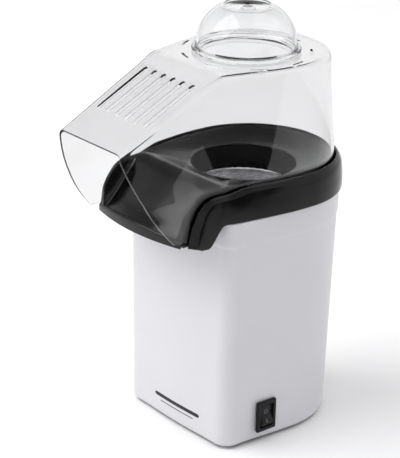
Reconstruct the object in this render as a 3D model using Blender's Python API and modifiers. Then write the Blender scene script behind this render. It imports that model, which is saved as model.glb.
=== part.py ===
"""Hot-air popcorn maker: white base, black collar and chute tray, clear hood and measuring cup.

Blender units are metres, +Z up, front (chute) towards -Y, switch on +X. Every shape is written
with the popping chamber's axis at x = 0, y = 0; the last step moves the whole model back along Y
so that the origin lies under the middle of its bounding box.
"""

import math

import bmesh
import bpy
from mathutils import Matrix, Vector

MM = 0.001

# Overall outline, seen from above
HOOD_FRONT = 123.3 * MM
REAR_CENTRE = 9.0 * MM
TRAY_HALF_WIDTH = 50.0 * MM
CHUTE_HALF_WIDTH = 41.6 * MM
CHUTE_SIDE_START = 68.0 * MM
LIP_SIDE_Y = -84.0 * MM
COLLAR_OFFSET = 8.4 * MM
COLLAR_REAR = REAR_CENTRE + TRAY_HALF_WIDTH + COLLAR_OFFSET
AXIS_Y = (HOOD_FRONT - COLLAR_REAR) / 2

# Heights
FEET_TOP = 2.7 * MM
HOUSING_BOTTOM = 2.0 * MM
HOUSING_TOP = 159.0 * MM
SHOULDER_Z = 143.0 * MM
COLLAR_BOTTOM = 159.3 * MM
COLLAR_RIM = 181.0 * MM
GROOVE_FLOOR = 162.0 * MM
RIDGE_Y = -53.0 * MM
RIDGE_Z = 182.0 * MM
TRAY_RIM_Z = 180.8 * MM
HOLE_Z = 175.2 * MM
LIP_Z = 149.0 * MM
WING_DROP = 3.0 * MM
CHUTE_SHOULDER = (-61.0 * MM, 179.0 * MM)
CHUTE_FOLD = (-80.4 * MM, 158.3 * MM)
HOOD_TOP = 250.0 * MM
HOOD_KNEE = 182.0 * MM
ROOF_CENTRE = 8.0 * MM
ROOF_HALF_WIDTH = 48.3 * MM
CREASE_Z = 214.0 * MM
HOOD_BOTTOM_FRONT = 152.5 * MM
HOOD_BOTTOM = 163.0 * MM
CUP_RIM_Z = 251.0 * MM
CUP_TOP = 280.0 * MM

# Walls and radii
HOUSING_WALL = 2.4 * MM
TRAY_WALL = 1.2 * MM
HOOD_WALL = 1.6 * MM
HOOD_OFFSET = 2.4 * MM
HOLE_R = 34.3 * MM
SKIRT_BOTTOM = 160.0 * MM
CHAMBER_R = 33.0 * MM
CHAMBER_BOTTOM = 108.0 * MM
CHAMBER_RIM_Z = 158.8 * MM
SLEEVE_R = 40.0 * MM
SLEEVE_BOTTOM = 79.0 * MM
CUP_R = 32.6 * MM
CUP_DOME_HEIGHT = 29.8 * MM

# Switch, on the right side
SWITCH_Y = -21.4 * MM
SWITCH_Z = 18.9 * MM
BEZEL_WIDTH = 16.0 * MM
BEZEL_HEIGHT = 22.5 * MM
ROCKER_TILT = math.radians(8)

WHITE = (0.86, 0.86, 0.88, 1)
BLACK = (0.02, 0.02, 0.022, 1)
CLEAR = (0.9, 0.92, 0.94, 0.3)
STEEL = (0.55, 0.56, 0.58, 1)
ALUMINIUM = (0.75, 0.75, 0.76, 1)
RUBBER = (0.03, 0.03, 0.03, 1)
MICA = (0.62, 0.52, 0.36, 1)
BRASS = (0.7, 0.5, 0.2, 1)
BOARD = (0.35, 0.22, 0.08, 1)

model = None
cutters = None


# ---------------------------------------------------------------- helpers

def start():
    """Empty the scene and make the two collections."""
    global model, cutters
    for obj in list(bpy.data.objects):
        bpy.data.objects.remove(obj, do_unlink=True)
    model = bpy.data.collections.new("popcorn_maker")
    cutters = bpy.data.collections.new("cutters")
    bpy.context.scene.collection.children.link(model)
    bpy.context.scene.collection.children.link(cutters)


def material(name, colour, roughness=0.5, metallic=0.0):
    mat = bpy.data.materials.get(name) or bpy.data.materials.new(name)
    mat.use_nodes = True
    shader = mat.node_tree.nodes["Principled BSDF"]
    shader.inputs["Base Color"].default_value = colour
    shader.inputs["Roughness"].default_value = roughness
    shader.inputs["Metallic"].default_value = metallic
    shader.inputs["Alpha"].default_value = colour[3]
    return mat


def add(name, mesh, mat=None):
    """Put a mesh into the model under its node's name."""
    obj = bpy.data.objects.new(name, mesh)
    model.objects.link(obj)
    if mat:
        mesh.materials.append(mat)
    return obj


def mesh_from(bm, name="mesh"):
    mesh = bpy.data.meshes.new(name)
    bm.to_mesh(mesh)
    bm.free()
    return mesh


def smooth(obj, degrees=35):
    obj.data.shade_smooth()
    obj.data.set_sharp_from_angle(angle=math.radians(degrees))
    return obj


def baked(obj):
    """Apply an object's modifiers, so that the next tool works on plain geometry."""
    graph = bpy.context.evaluated_depsgraph_get()
    mesh = bpy.data.meshes.new_from_object(obj.evaluated_get(graph))
    obj.modifiers.clear()
    obj.data = mesh
    return obj


def box_mesh(size, centre=(0, 0, 0)):
    bm = bmesh.new()
    bmesh.ops.create_cube(bm, size=1, matrix=Matrix.Translation(centre) @ Matrix.Diagonal((*size, 1)))
    return mesh_from(bm)


def rod_mesh(radius, start_point, end_point, segments=16):
    """A solid round bar between two points."""
    a, b = Vector(start_point), Vector(end_point)
    turn = (b - a).to_track_quat("Z", "Y").to_matrix().to_4x4()
    bm = bmesh.new()
    bmesh.ops.create_cone(bm, cap_ends=True, segments=segments, radius1=radius, radius2=radius,
                          depth=(b - a).length, matrix=Matrix.Translation((a + b) / 2) @ turn)
    return mesh_from(bm)


def joined(meshes):
    """One mesh that holds several separate solids."""
    bm = bmesh.new()
    for mesh in meshes:
        bm.from_mesh(mesh)
    return mesh_from(bm)


def turned_mesh(profile, steps=48):
    """Turn a closed profile of (radius, height) points about Z. It runs down its outer side."""
    bm = bmesh.new()
    points = [bm.verts.new((r, 0, z)) for r, z in profile]
    for a, b in zip(points, points[1:]):
        bm.edges.new((a, b))
    closed = profile[0][0] > 0 and profile[-1][0] > 0
    if closed:
        bm.edges.new((points[-1], points[0]))
    obj = bpy.data.objects.new("profile", mesh_from(bm))
    cutters.objects.link(obj)
    screw = obj.modifiers.new("turn", "SCREW")
    screw.steps = steps
    screw.render_steps = steps
    screw.use_merge_vertices = True
    screw.merge_threshold = 0.00001
    baked(obj)
    mesh = obj.data
    bpy.data.objects.remove(obj)
    return mesh


def moved(mesh, matrix):
    mesh.transform(matrix)
    return mesh


def boolean(target, mesh, operation="DIFFERENCE"):
    """Cut a mesh out of an object, or join it on."""
    tool = bpy.data.objects.new("cutter", mesh)
    cutters.objects.link(tool)
    tool.hide_render = True
    tool.display_type = "WIRE"
    step = target.modifiers.new(operation.lower(), "BOOLEAN")
    step.operation = operation
    step.solver = "EXACT"
    step.object = tool
    baked(target)
    bpy.data.objects.remove(tool)
    return target


def thicken(obj, thickness, even=True):
    """Give an open surface a wall on its inner side."""
    step = obj.modifiers.new("wall", "SOLIDIFY")
    step.thickness = thickness
    step.offset = -1
    step.use_even_offset = even
    return baked(obj)


def grid_surface(rows, close_rows=False, close_columns=False):
    """Skin a surface over rows of points; rows[i][j] and rows[i + 1][j] are neighbours."""
    bm = bmesh.new()
    verts = [[bm.verts.new(p) for p in row] for row in rows]
    count = len(rows[0])
    row_pairs = list(zip(verts, verts[1:]))
    if close_rows:
        row_pairs.append((verts[-1], verts[0]))
    for low, high in row_pairs:
        for j in range(count if close_columns else count - 1):
            k = (j + 1) % count
            bm.faces.new((low[j], low[k], high[k], high[j]))
    return bm, verts


def tube(name, points, radius, mat, resolution=2):
    """A round wire along a list of points, as a closed mesh."""
    curve = bpy.data.curves.new(name, "CURVE")
    curve.dimensions = "3D"
    curve.bevel_depth = radius
    curve.bevel_resolution = resolution
    curve.use_fill_caps = True
    spline = curve.splines.new("POLY")
    spline.points.add(len(points) - 1)
    for slot, point in zip(spline.points, points):
        slot.co = (*point, 1)
    obj = bpy.data.objects.new(name, curve)
    model.objects.link(obj)
    curve.materials.append(mat)
    return obj


def plate_mesh(outline, thickness, z):
    """A flat plate from a closed outline of (x, y) points, its underside at z."""
    curve = bpy.data.curves.new("outline", "CURVE")
    curve.dimensions = "2D"
    curve.fill_mode = "BOTH"
    curve.extrude = thickness / 2
    spline = curve.splines.new("POLY")
    spline.points.add(len(outline) - 1)
    for slot, (x, y) in zip(spline.points, outline):
        slot.co = (x, y, 0, 1)
    spline.use_cyclic_u = True
    obj = bpy.data.objects.new("plate", curve)
    cutters.objects.link(obj)
    graph = bpy.context.evaluated_depsgraph_get()
    mesh = bpy.data.meshes.new_from_object(obj.evaluated_get(graph))
    bpy.data.objects.remove(obj)
    bm = bmesh.new()
    bm.from_mesh(mesh)
    bmesh.ops.remove_doubles(bm, verts=bm.verts, dist=0.00001)
    bmesh.ops.translate(bm, verts=bm.verts, vec=(0, 0, z + thickness / 2))
    return mesh_from(bm)


def blend(t):
    """Smooth step from 0 to 1."""
    t = min(max(t, 0.0), 1.0)
    return t * t * (3 - 2 * t)


def mix(a, b, t):
    return a + (b - a) * t


# ---------------------------------------------------------------- outlines

def tray_half_width(y):
    """Half the width of the tray at y: narrow beside the chute, wide round the chamber."""
    return mix(CHUTE_HALF_WIDTH, TRAY_HALF_WIDTH, blend((y + CHUTE_SIDE_START) / CHUTE_SIDE_START))


def base_outline(z, inset=0.0):
    """The housing's outline at a height: straight front, round corners, swelling sides, round rear."""
    t = z / SHOULDER_Z
    front = mix(-54.2, -55.3, t) * MM + inset
    front_bulge = 1.1 * MM
    corner = 11 * MM - inset
    half_front = mix(51.5, 53.0, t) * MM - inset
    half_rear = mix(54.0, 55.8, t) * MM - inset
    rear_centre = mix(6.5, 9.0, t) * MM
    right = []
    for i in range(3):
        x = (half_front - corner) * i / 3
        right.append((x, front - front_bulge * (1 - (x / (half_front - corner)) ** 2)))
    for i in range(6):
        a = math.pi / 2 * i / 5
        right.append((half_front - corner + corner * math.sin(a), front + corner - corner * math.cos(a)))
    for i in range(1, 5):
        a = math.pi / 2 * i / 5
        y = mix(front + corner, rear_centre, i / 5)
        right.append((mix(half_front, half_rear, math.sin(a)), y))
    for i in range(11):
        a = math.pi / 2 * i / 10
        right.append((half_rear * math.cos(a), rear_centre + half_rear * math.sin(a)))
    left = [(-x, y) for x, y in reversed(right[1:-1])]
    return right + left


def side_x(y, z):
    """Where the housing's right wall is at a given y and height."""
    right = [p for p in base_outline(z) if p[0] > 40 * MM]
    right.sort(key=lambda p: p[1])
    for a, b in zip(right, right[1:]):
        if a[1] <= y <= b[1]:
            return mix(a[0], b[0], (y - a[1]) / (b[1] - a[1]))
    return right[0][0]


# ---------------------------------------------------------------- base

SCREW_PLACES = [(side * x * MM, y * MM) for side in (-1, 1) for x, y in ((43.7, -46.5), (36.5, 37.1))]
FOOT_PLACES = [(side * x * MM, y * MM) for side in (-1, 1) for x, y in ((31, -43), (22, 40))]


def base_housing():
    levels = [HOUSING_BOTTOM, 5 * MM, 40 * MM, SHOULDER_Z, 148 * MM, HOUSING_TOP]
    rows = []
    for z in levels:
        row = [Vector((x, y, z)) for x, y in base_outline(min(z, SHOULDER_Z))]
        if z == HOUSING_BOTTOM:
            row = [Vector((p.x * 0.985, p.y * 0.985, z)) for p in row]
        if z > SHOULDER_Z:
            row = [Vector((p.x * 1.01, p.y * 1.01, z)) for p in row]
        rows.append(row)
    bm, verts = grid_surface(rows, close_columns=True)
    obj = add("base_housing", mesh_from(bm), material("white_plastic", WHITE, 0.35))
    thicken(obj, HOUSING_WALL)
    for post in screw_posts():
        boolean(obj, post, "UNION")
    # Lead inlet in the rear wall and the switch's opening in the right wall
    boolean(obj, rod_mesh(5.3 * MM, (0, 40 * MM, 16 * MM), (0, 75 * MM, 16 * MM), 24))
    opening = (20 * MM, 13.4 * MM, 19.6 * MM)
    boolean(obj, box_mesh(opening, (side_x(SWITCH_Y, SWITCH_Z), SWITCH_Y, SWITCH_Z)))
    return smooth(obj)


def bottom_cover():
    outline = base_outline(4 * MM, HOUSING_WALL + 1.2 * MM)
    obj = add("bottom_cover", plate_mesh(outline, 2.5 * MM, 3 * MM), material("black_abs", BLACK, 0.6))
    slots = [box_mesh((52 * MM, 3.2 * MM, 10 * MM), (0, (i - 3.5) * 7 * MM, 4 * MM)) for i in range(8)]
    boolean(obj, joined(slots))
    holes = [rod_mesh(1.9 * MM, (x, y, 0), (x, y, 8 * MM)) for x, y in SCREW_PLACES]
    boolean(obj, joined(holes))
    return obj


def screw_posts():
    """Four hollow posts against the wall; they take the bottom cover's screws."""
    posts = []
    for x, y in SCREW_PLACES:
        profile = [(4.6 * MM, 30 * MM), (4.6 * MM, 5.8 * MM), (1.8 * MM, 5.8 * MM), (1.8 * MM, 30 * MM)]
        posts.append(moved(turned_mesh(profile, 14), Matrix.Translation((x, y, 0))))
    return posts


def rubber_feet():
    profile = [(0, FEET_TOP), (6.5 * MM, FEET_TOP), (7 * MM, 1 * MM), (6.4 * MM, 0), (0, 0)]
    for i, (x, y) in enumerate(FOOT_PLACES):
        mesh = moved(turned_mesh(profile, 20), Matrix.Translation((x, y, 0)))
        smooth(add(f"rubber_foot_{i + 1}", mesh, material("rubber", RUBBER, 0.8)))


def screw_mesh(head_z, tip_z, head_r=3 * MM, shank_r=1.5 * MM, head=1.6 * MM):
    """A pan-head screw along Z, its head's seat at head_z."""
    turn = -1 if tip_z > head_z else 1
    crown = head_z + turn * head
    profile = [(0, crown), (head_r * 0.7, crown), (head_r, head_z + turn * head * 0.4), (head_r, head_z),
               (shank_r, head_z), (shank_r, tip_z), (0, tip_z)]
    if turn < 0:
        profile.reverse()
    return turned_mesh(profile, 12)


def cover_screws():
    for i, (x, y) in enumerate(SCREW_PLACES):
        mesh = moved(screw_mesh(2.7 * MM, 22 * MM), Matrix.Translation((x, y, 0)))
        smooth(add(f"cover_screw_{i + 1}", mesh, material("screw_steel", STEEL, 0.35, 1)))


def cord_grommet():
    profile = [(7 * MM, 3.6 * MM), (7 * MM, 0.6 * MM), (5 * MM, 0.6 * MM), (5 * MM, -3.4 * MM),
               (6.6 * MM, -3.4 * MM), (6.6 * MM, -5 * MM), (3.4 * MM, -5 * MM), (3.4 * MM, 3.6 * MM)]
    mesh = turned_mesh(profile, 24)
    turn = Matrix.Rotation(-math.pi / 2, 4, "X")
    wall = max(p[1] for p in base_outline(16 * MM))
    mesh = moved(mesh, Matrix.Translation((0, wall, 16 * MM)) @ turn)
    return smooth(add("cord_grommet", mesh, material("rubber", RUBBER, 0.8)))


# ---------------------------------------------------------------- switch

def switch_body():
    """Bezel and snap-in box, open at the front for the rocker."""
    x = side_x(SWITCH_Y, SWITCH_Z) + 0.9 * MM
    obj = add("switch_body", box_mesh((20 * MM, 12.8 * MM, 19 * MM), (x - 9.9 * MM, SWITCH_Y, SWITCH_Z)),
              material("black_switch", BLACK, 0.35))
    bezel = box_mesh((2 * MM, BEZEL_WIDTH, BEZEL_HEIGHT), (x + 1 * MM, SWITCH_Y, SWITCH_Z))
    boolean(obj, bezel, "UNION")
    boolean(obj, box_mesh((14 * MM, 11 * MM, 17.2 * MM), (x - 4.9 * MM, SWITCH_Y, SWITCH_Z)))
    blades = [box_mesh((12 * MM, 5.4 * MM, 1.4 * MM), (x - 20 * MM, SWITCH_Y, SWITCH_Z + dz * MM)) for dz in (-5, 5)]
    boolean(obj, joined(blades))
    return obj


def switch_rocker():
    """Two faces at a shallow angle; the object's origin is on the pivot."""
    x = side_x(SWITCH_Y, SWITCH_Z) - 1.0 * MM
    half = 7.2 * MM
    face = 2.6 * MM
    outline = [(-5 * MM, -3 * MM), (-5 * MM, 3 * MM), (0, half), (face + 1.4 * MM, half), (face, 0),
               (face + 1.4 * MM, -half), (0, -half)]
    mesh = plate_mesh([(px, pz) for px, pz in reversed(outline)], 10.2 * MM, -5.1 * MM)
    mesh = moved(mesh, Matrix.Rotation(math.pi / 2, 4, "X"))
    obj = add("switch_rocker", mesh, material("rocker_black", BLACK, 0.25))
    obj.location = (x, SWITCH_Y, SWITCH_Z)
    obj.rotation_euler = (0, -ROCKER_TILT, 0)
    return obj


def switch_terminals():
    x = side_x(SWITCH_Y, SWITCH_Z) + 0.9 * MM
    for name, dz in (("lower", -5 * MM), ("upper", 5 * MM)):
        mesh = box_mesh((9 * MM, 4.8 * MM, 0.8 * MM), (x - 18.5 * MM, SWITCH_Y, SWITCH_Z + dz))
        add(f"switch_terminal_{name}", mesh, material("brass", BRASS, 0.3, 1))


# ---------------------------------------------------------------- collar, tray, hood and cup

def collar_section(y, along_side):
    """(offset, height) points of the collar's wall, rim, groove and inner flange at one station."""
    front = blend((-y - 50 * MM) / (30 * MM)) if along_side else 0.0
    top = rim_height(y)
    if along_side:
        top = max(top - WING_DROP * blend((-y - 35 * MM) / (20 * MM)), LIP_Z + 0.2 * MM)
    bottom = COLLAR_BOTTOM
    if along_side:
        bottom = mix(COLLAR_BOTTOM, 146.5 * MM, blend((-y - 57.3 * MM) / (11 * MM)))
    bottom = min(bottom, top - 3 * MM)
    floor = min(mix(GROOVE_FLOOR, bottom + 1.5 * MM, front), top - 1.5 * MM)
    depth = min(1.0, (top - bottom) / (20 * MM))
    reach = mix(10 * MM, 5.6 * MM, blend((-y - 44 * MM) / (10 * MM))) if along_side else 10 * MM
    return [(-0.4 * MM, bottom), (0.0, mix(bottom, top, 0.35)), (-0.8 * MM, top - 7 * MM * depth),
            (-2.4 * MM, top - 2.2 * MM * depth), (-3.4 * MM, top - 0.4 * MM * depth), (-4.5 * MM, top),
            (-5.0 * MM, top - 1.2 * MM * depth), (-5.2 * MM, floor), (-reach - 0.2 * MM, floor),
            (-reach - 0.2 * MM, floor - 1.4 * MM), (-3.6 * MM, min(floor - 1.5 * MM, bottom + 1.2 * MM)),
            (-2.9 * MM, bottom)]


def rim_height(y):
    """Height of the tray's and the collar's rim: level, then a quarter round down to the lip."""
    start_y = -60 * MM
    if y >= start_y:
        return COLLAR_RIM
    radius = -(LIP_SIDE_Y - 1.5 * MM - start_y)
    drop = min((start_y - y) / radius, 1.0)
    return LIP_Z + (COLLAR_RIM - LIP_Z) * math.sqrt(max(1 - drop ** 2.2, 0.0))


def collar_stations():
    """Path of the collar's outer face: right wing, right side, half the rear; then mirrored."""
    front = [-85.3, -84.6, -83, -80.5, -77, -73, -69, -64, -59, -54, -48, -40, -30, -18, -6, 4]
    path = [(tray_half_width(y * MM) + COLLAR_OFFSET, y * MM, 1.0, 0.0, True) for y in front]
    for i in range(11):
        a = math.pi / 2 * i / 10
        radius = TRAY_HALF_WIDTH + COLLAR_OFFSET
        path.append((radius * math.cos(a), REAR_CENTRE + radius * math.sin(a), math.cos(a), math.sin(a), False))
    mirrored = [(-x, y, -nx, ny, side) for x, y, nx, ny, side in reversed(path[:-1])]
    return path + mirrored


def collar():
    rows = []
    for x, y, nx, ny, side in collar_stations():
        rows.append([Vector((x + nx * d, y + ny * d, z)) for d, z in collar_section(y, side)])
    bm, verts = grid_surface(rows, close_columns=True)
    bm.faces.new(list(verts[0]))
    bm.faces.new(list(reversed(verts[-1])))
    bmesh.ops.recalc_face_normals(bm, faces=bm.faces)
    return smooth(add("collar", mesh_from(bm), material("black_gloss", BLACK, 0.2)))


def lip_front(x):
    """The pouring lip is bowed: furthest forward in the middle."""
    return LIP_SIDE_Y - 6 * MM * (1 - (x / CHUTE_HALF_WIDTH) ** 2)


def lip_height(x):
    """Upper edge of the pouring lip, a little higher in the middle than at its ends."""
    return mix(LIP_Z + 4 * MM, LIP_Z + 1 * MM, (x / CHUTE_HALF_WIDTH) ** 2)


def chute_floor(x, y):
    """Floor of the chute: a rounded shoulder, a long plane down to the fold, a flatter run to the lip."""
    shoulder_y, shoulder_z = CHUTE_SHOULDER
    fold_y, fold_z = CHUTE_FOLD
    if y > shoulder_y:
        t = (RIDGE_Y - y) / (RIDGE_Y - shoulder_y)
        return mix(RIDGE_Z, shoulder_z, t * t)
    if y > fold_y:
        return mix(shoulder_z, fold_z, (shoulder_y - y) / (shoulder_y - fold_y))
    t = (fold_y - y) / (fold_y - lip_front(x))
    return mix(fold_z, lip_height(x), min(t, 1.0))


def tray_height(x, y, half):
    """Upper surface of the dish and the chute at a place inside the rim."""
    if y >= RIDGE_Y:
        distance = math.hypot(x, y)
        slope = blend((distance - HOLE_R) / (14 * MM))
        z = mix(HOLE_Z, TRAY_RIM_Z - 1.2 * MM, slope)
        near_ridge = blend((RIDGE_Y + 9 * MM - y) / (9 * MM))
        return mix(z, RIDGE_Z - 0.4 * MM, near_ridge)
    floor = chute_floor(x, y)
    rise = blend(1 - (half - abs(x)) / (9 * MM))
    return mix(floor, max(rim_height(y) - 1 * MM, floor), rise) if abs(x) < half else floor


def tray_outline():
    """Matching points round the tray: on the hole, half way (on the ridge in front) and on the edge."""
    points = [(CHUTE_HALF_WIDTH * i / 4, lip_front(CHUTE_HALF_WIDTH * i / 4)) for i in range(4)]
    for y in (-84, -82, -78, -72, -65, -59, -53, -42, -28, -10, 9):
        points.append((tray_half_width(y * MM), y * MM))
    for i in range(1, 9):
        a = math.pi / 2 * i / 8
        points.append((TRAY_HALF_WIDTH * math.cos(a), REAR_CENTRE + TRAY_HALF_WIDTH * math.sin(a)))
    stations = []
    for k, (x, y) in enumerate(points):
        turn = math.pi * k / (len(points) - 1)
        hole = (HOLE_R * math.sin(turn), -HOLE_R * math.cos(turn))
        if y < RIDGE_Y:
            t = (RIDGE_Y - hole[1]) / (y - hole[1])
            middle = (min(mix(hole[0], x, t), 35 * MM), RIDGE_Y)
        else:
            middle = (mix(hole[0], x, 0.55), mix(hole[1], y, 0.55))
        stations.append((hole, middle, (x, y)))
    mirrored = [tuple((-px, py) for px, py in station) for station in reversed(stations[1:-1])]
    return stations + mirrored


def chute_tray():
    """Skirt, dish, ridge, chute and rim as one skin of loops round the hole."""
    rows = [[], [], []]
    rows += [[] for _ in range(9)]
    for hole, middle, edge in tray_outline():
        x, y = edge
        half = max(tray_half_width(y) if y < REAR_CENTRE else abs(x), 1e-6)
        side = y >= LIP_SIDE_Y
        top = rim_height(y) - 0.2 * MM if side else lip_height(x) + 0.5 * MM
        low = max(GROOVE_FLOOR + 1 * MM, LIP_Z)
        if y < RIDGE_Y:
            low = mix(low, LIP_Z + 0.3 * MM, blend((RIDGE_Y - y) / (12 * MM)))
        low = min(low, top - 1.6 * MM)
        column = [Vector((*hole, SKIRT_BOTTOM)), Vector((*hole, HOLE_Z - 1 * MM)), Vector((*hole, HOLE_Z))]
        for t in (0.3, 0.65, 1.0):
            px, py = mix(hole[0], middle[0], t), mix(hole[1], middle[1], t)
            column.append(Vector((px, py, tray_height(px, py, tray_half_width(py)))))
        reach = math.hypot(x - middle[0], y - middle[1])
        rim = min(3.2 * MM / max(reach, 1e-6), 0.5)
        for t in (0.45 * (1 - rim), 0.8 * (1 - rim), 1 - rim):
            px, py = mix(middle[0], x, t), mix(middle[1], y, t)
            column.append(Vector((px, py, tray_height(px, py, tray_half_width(py)))))
        if side:
            column[-1].z = top - 0.8 * MM
        bead = mix(1.0, 0.6, min(rim, 1.0))
        column.append(Vector((mix(middle[0], x, 1 - rim * 0.4), mix(middle[1], y, 1 - rim * 0.4), top)))
        column.append(Vector((x, y, top - bead * MM)))
        column.append(Vector((x, y, low)))
        for row, point in zip(rows, column):
            row.append(point)
    bm, verts = grid_surface(rows, close_columns=True)
    bmesh.ops.recalc_face_normals(bm, faces=bm.faces)
    obj = add("chute_tray", mesh_from(bm), material("black_gloss", BLACK, 0.2))
    thicken(obj, TRAY_WALL, even=False)
    return smooth(obj)


def slope_height(y):
    """Height of the hood's sloped roof at y, between the crease and the top plate."""
    return mix(HOOD_TOP, CREASE_Z, min(max((-50 * MM - y) / (73.3 * MM), 0.0), 1.0))


def hood_half_width(y):
    """Half the hood's width in the groove, narrowing towards its free front edge."""
    return tray_half_width(y) + HOOD_OFFSET - 0.25 * max(0.0, -92 * MM - y)


def hood_rails():
    """Matching points of the hood's bottom edge, its knee and its roof edge, front to middle rear."""
    bottom, knee, top = [], [], []
    for f in (0.0, 0.07, 0.15, 0.25, 0.36, 0.48, 0.6, 0.73, 0.86, 1.0):
        y = mix(-91.3 * MM, REAR_CENTRE, f)
        z = mix(HOOD_BOTTOM, HOOD_BOTTOM_FRONT, blend((-y - 58 * MM) / (24 * MM)))
        bottom.append(Vector((hood_half_width(y), y, z)))
        y = mix(-111.9 * MM, REAR_CENTRE, f)
        knee.append(Vector((hood_half_width(y), y, HOOD_KNEE)))
        y = mix(-HOOD_FRONT, ROOF_CENTRE, f)
        width = mix(34 * MM, ROOF_HALF_WIDTH, blend((y + 70 * MM) / (70 * MM + ROOF_CENTRE)))
        width -= 0.05 * max(0.0, -70 * MM - y)
        top.append(Vector((width, y, slope_height(y))))
    for i in range(1, 9):
        a = math.pi / 2 * i / 8
        c, s = math.cos(a), math.sin(a)
        radius = TRAY_HALF_WIDTH + HOOD_OFFSET
        bottom.append(Vector((radius * c, REAR_CENTRE + radius * s, HOOD_BOTTOM)))
        knee.append(Vector((radius * c, REAR_CENTRE + radius * s, HOOD_KNEE)))
        top.append(Vector((ROOF_HALF_WIDTH * c, ROOF_CENTRE + ROOF_HALF_WIDTH * s, HOOD_TOP)))
    return bottom, knee, top


def hood_column(low, knee, wall_top):
    """Points up one line of the side wall; the free edge bows forward between its ends."""
    column = []
    for a, b, steps in ((low, knee, 2), (knee, wall_top, 3)):
        for i in range(steps):
            t = i / steps
            p = a.lerp(b, t)
            p.y += (b.y - a.y) * 0.35 * t * (1 - t)
            column.append(p)
    column.append(wall_top)
    return column


def hood():
    bottom, knees, top = hood_rails()
    rows = []
    count = len(top)
    corner = 4.5 * MM
    for j in range(count):
        high = top[j]
        before, after = top[max(j - 1, 0)], top[min(j + 1, count - 1)]
        tangent = Vector((after.x - before.x, after.y - before.y, 0)).normalized()
        inward = Vector((-tangent.y, tangent.x, 0))
        if j < 5:
            inward = Vector((-1, 0, 0))
        if j == count - 1:
            inward = Vector((0, -1, 0))
        wall_top = high - Vector((0, 0, corner))
        side = hood_column(bottom[j], knees[j], wall_top)
        for a in (30, 60, 90):
            a = math.radians(a)
            side.append(wall_top + Vector((0, 0, corner * math.sin(a))) + inward * corner * (1 - math.cos(a)))
        last = side[-1]
        row = side + [Vector((last.x * f, last.y, last.z)) for f in (0.66, 0.33, 0.0)]
        row += [Vector((-p.x, p.y, p.z)) for p in reversed(row[:-1])]
        rows.append(row)
    bm, verts = grid_surface(rows)
    bmesh.ops.remove_doubles(bm, verts=bm.verts, dist=0.00001)
    bmesh.ops.recalc_face_normals(bm, faces=bm.faces)
    obj = add("hood", mesh_from(bm), material("clear_plastic", CLEAR, 0.05))
    thicken(obj, HOOD_WALL)
    boolean(obj, rod_mesh(30.5 * MM, (0, 0, 240 * MM), (0, 0, 260 * MM), 48))
    boolean(obj, joined(roof_slots()))
    return smooth(obj)


def roof_slots():
    """Six long slots down the sloped roof."""
    angle = math.atan2(HOOD_TOP - CREASE_Z, 73.3 * MM)
    slots = []
    for i in range(6):
        x = (i - 2.5) * 9.3 * MM
        centre = Vector((x, -81 * MM, slope_height(-81 * MM)))
        mesh = box_mesh((3 * MM, 43 * MM, 9 * MM))
        slots.append(moved(mesh, Matrix.Translation(centre) @ Matrix.Rotation(angle, 4, "X")))
    return slots


def measuring_cup():
    """Dome with a flat top, a resting flange and a short spigot that drops into the hood's hole."""
    def radius_at(z, shrink=0.0):
        height = CUP_DOME_HEIGHT - shrink
        base = 254 * MM
        return (CUP_R - shrink) * math.sqrt(max(1 - ((z - base) / height) ** 2, 0.0))

    wall = 1.5 * MM
    base = 254 * MM
    outer_levels = [mix(CUP_TOP, base, i / 6) for i in range(7)]
    inner_levels = [mix(base, CUP_TOP - wall, i / 6) for i in range(7)]
    profile = [(0, CUP_TOP)]
    profile += [(radius_at(z), z) for z in outer_levels]
    profile += [(CUP_R + 2.4 * MM, CUP_RIM_Z + 1.6 * MM), (CUP_R + 2.4 * MM, CUP_RIM_Z - 0.4 * MM),
                (29.6 * MM, CUP_RIM_Z - 0.4 * MM), (29.6 * MM, 245 * MM), (28.2 * MM, 245 * MM),
                (28.4 * MM, CUP_RIM_Z)]
    profile += [(radius_at(z, wall), z) for z in inner_levels]
    profile.append((0, CUP_TOP - wall))
    return smooth(add("measuring_cup", turned_mesh(profile, 30), material("clear_plastic", CLEAR, 0.05)))


# ---------------------------------------------------------------- chamber and heater

def popping_chamber():
    wall = 0.8 * MM
    profile = [(CHAMBER_R + 6 * MM, CHAMBER_RIM_Z), (CHAMBER_R + 6 * MM, CHAMBER_RIM_Z - wall),
               (CHAMBER_R, CHAMBER_RIM_Z - wall), (CHAMBER_R - 0.6 * MM, CHAMBER_BOTTOM + 6 * MM),
               (CHAMBER_R - 4 * MM, CHAMBER_BOTTOM), (0, CHAMBER_BOTTOM - 1 * MM)]
    inside = [(0, CHAMBER_BOTTOM - 0.2 * MM), (CHAMBER_R - 4.4 * MM, CHAMBER_BOTTOM + wall),
              (CHAMBER_R - 1.4 * MM, CHAMBER_BOTTOM + 6.4 * MM), (CHAMBER_R - wall, CHAMBER_RIM_Z)]
    obj = add("popping_chamber", turned_mesh(profile + inside, 36), material("aluminium", ALUMINIUM, 0.25, 1))
    slots = []
    for i in range(10):
        a = 2 * math.pi * i / 10
        turn = Matrix.Rotation(a, 4, "Z") @ Matrix.Translation((CHAMBER_R - 1 * MM, 0, 121 * MM))
        tilt = Matrix.Rotation(math.radians(35), 4, "X")
        slots.append(moved(box_mesh((6 * MM, 1.6 * MM, 11 * MM)), turn @ tilt))
    boolean(obj, joined(slots))
    return smooth(obj)


def air_sleeve():
    wall = 0.7 * MM
    r = SLEEVE_R
    top, low = 155.5 * MM, SLEEVE_BOTTOM
    profile = [(r, top), (r, low), (r - 5 * MM, low), (r - 5 * MM, low + wall), (r - wall, low + wall),
               (r - wall, top)]
    return smooth(add("air_sleeve", turned_mesh(profile, 30), material("galvanised", STEEL, 0.4, 1)))


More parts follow.
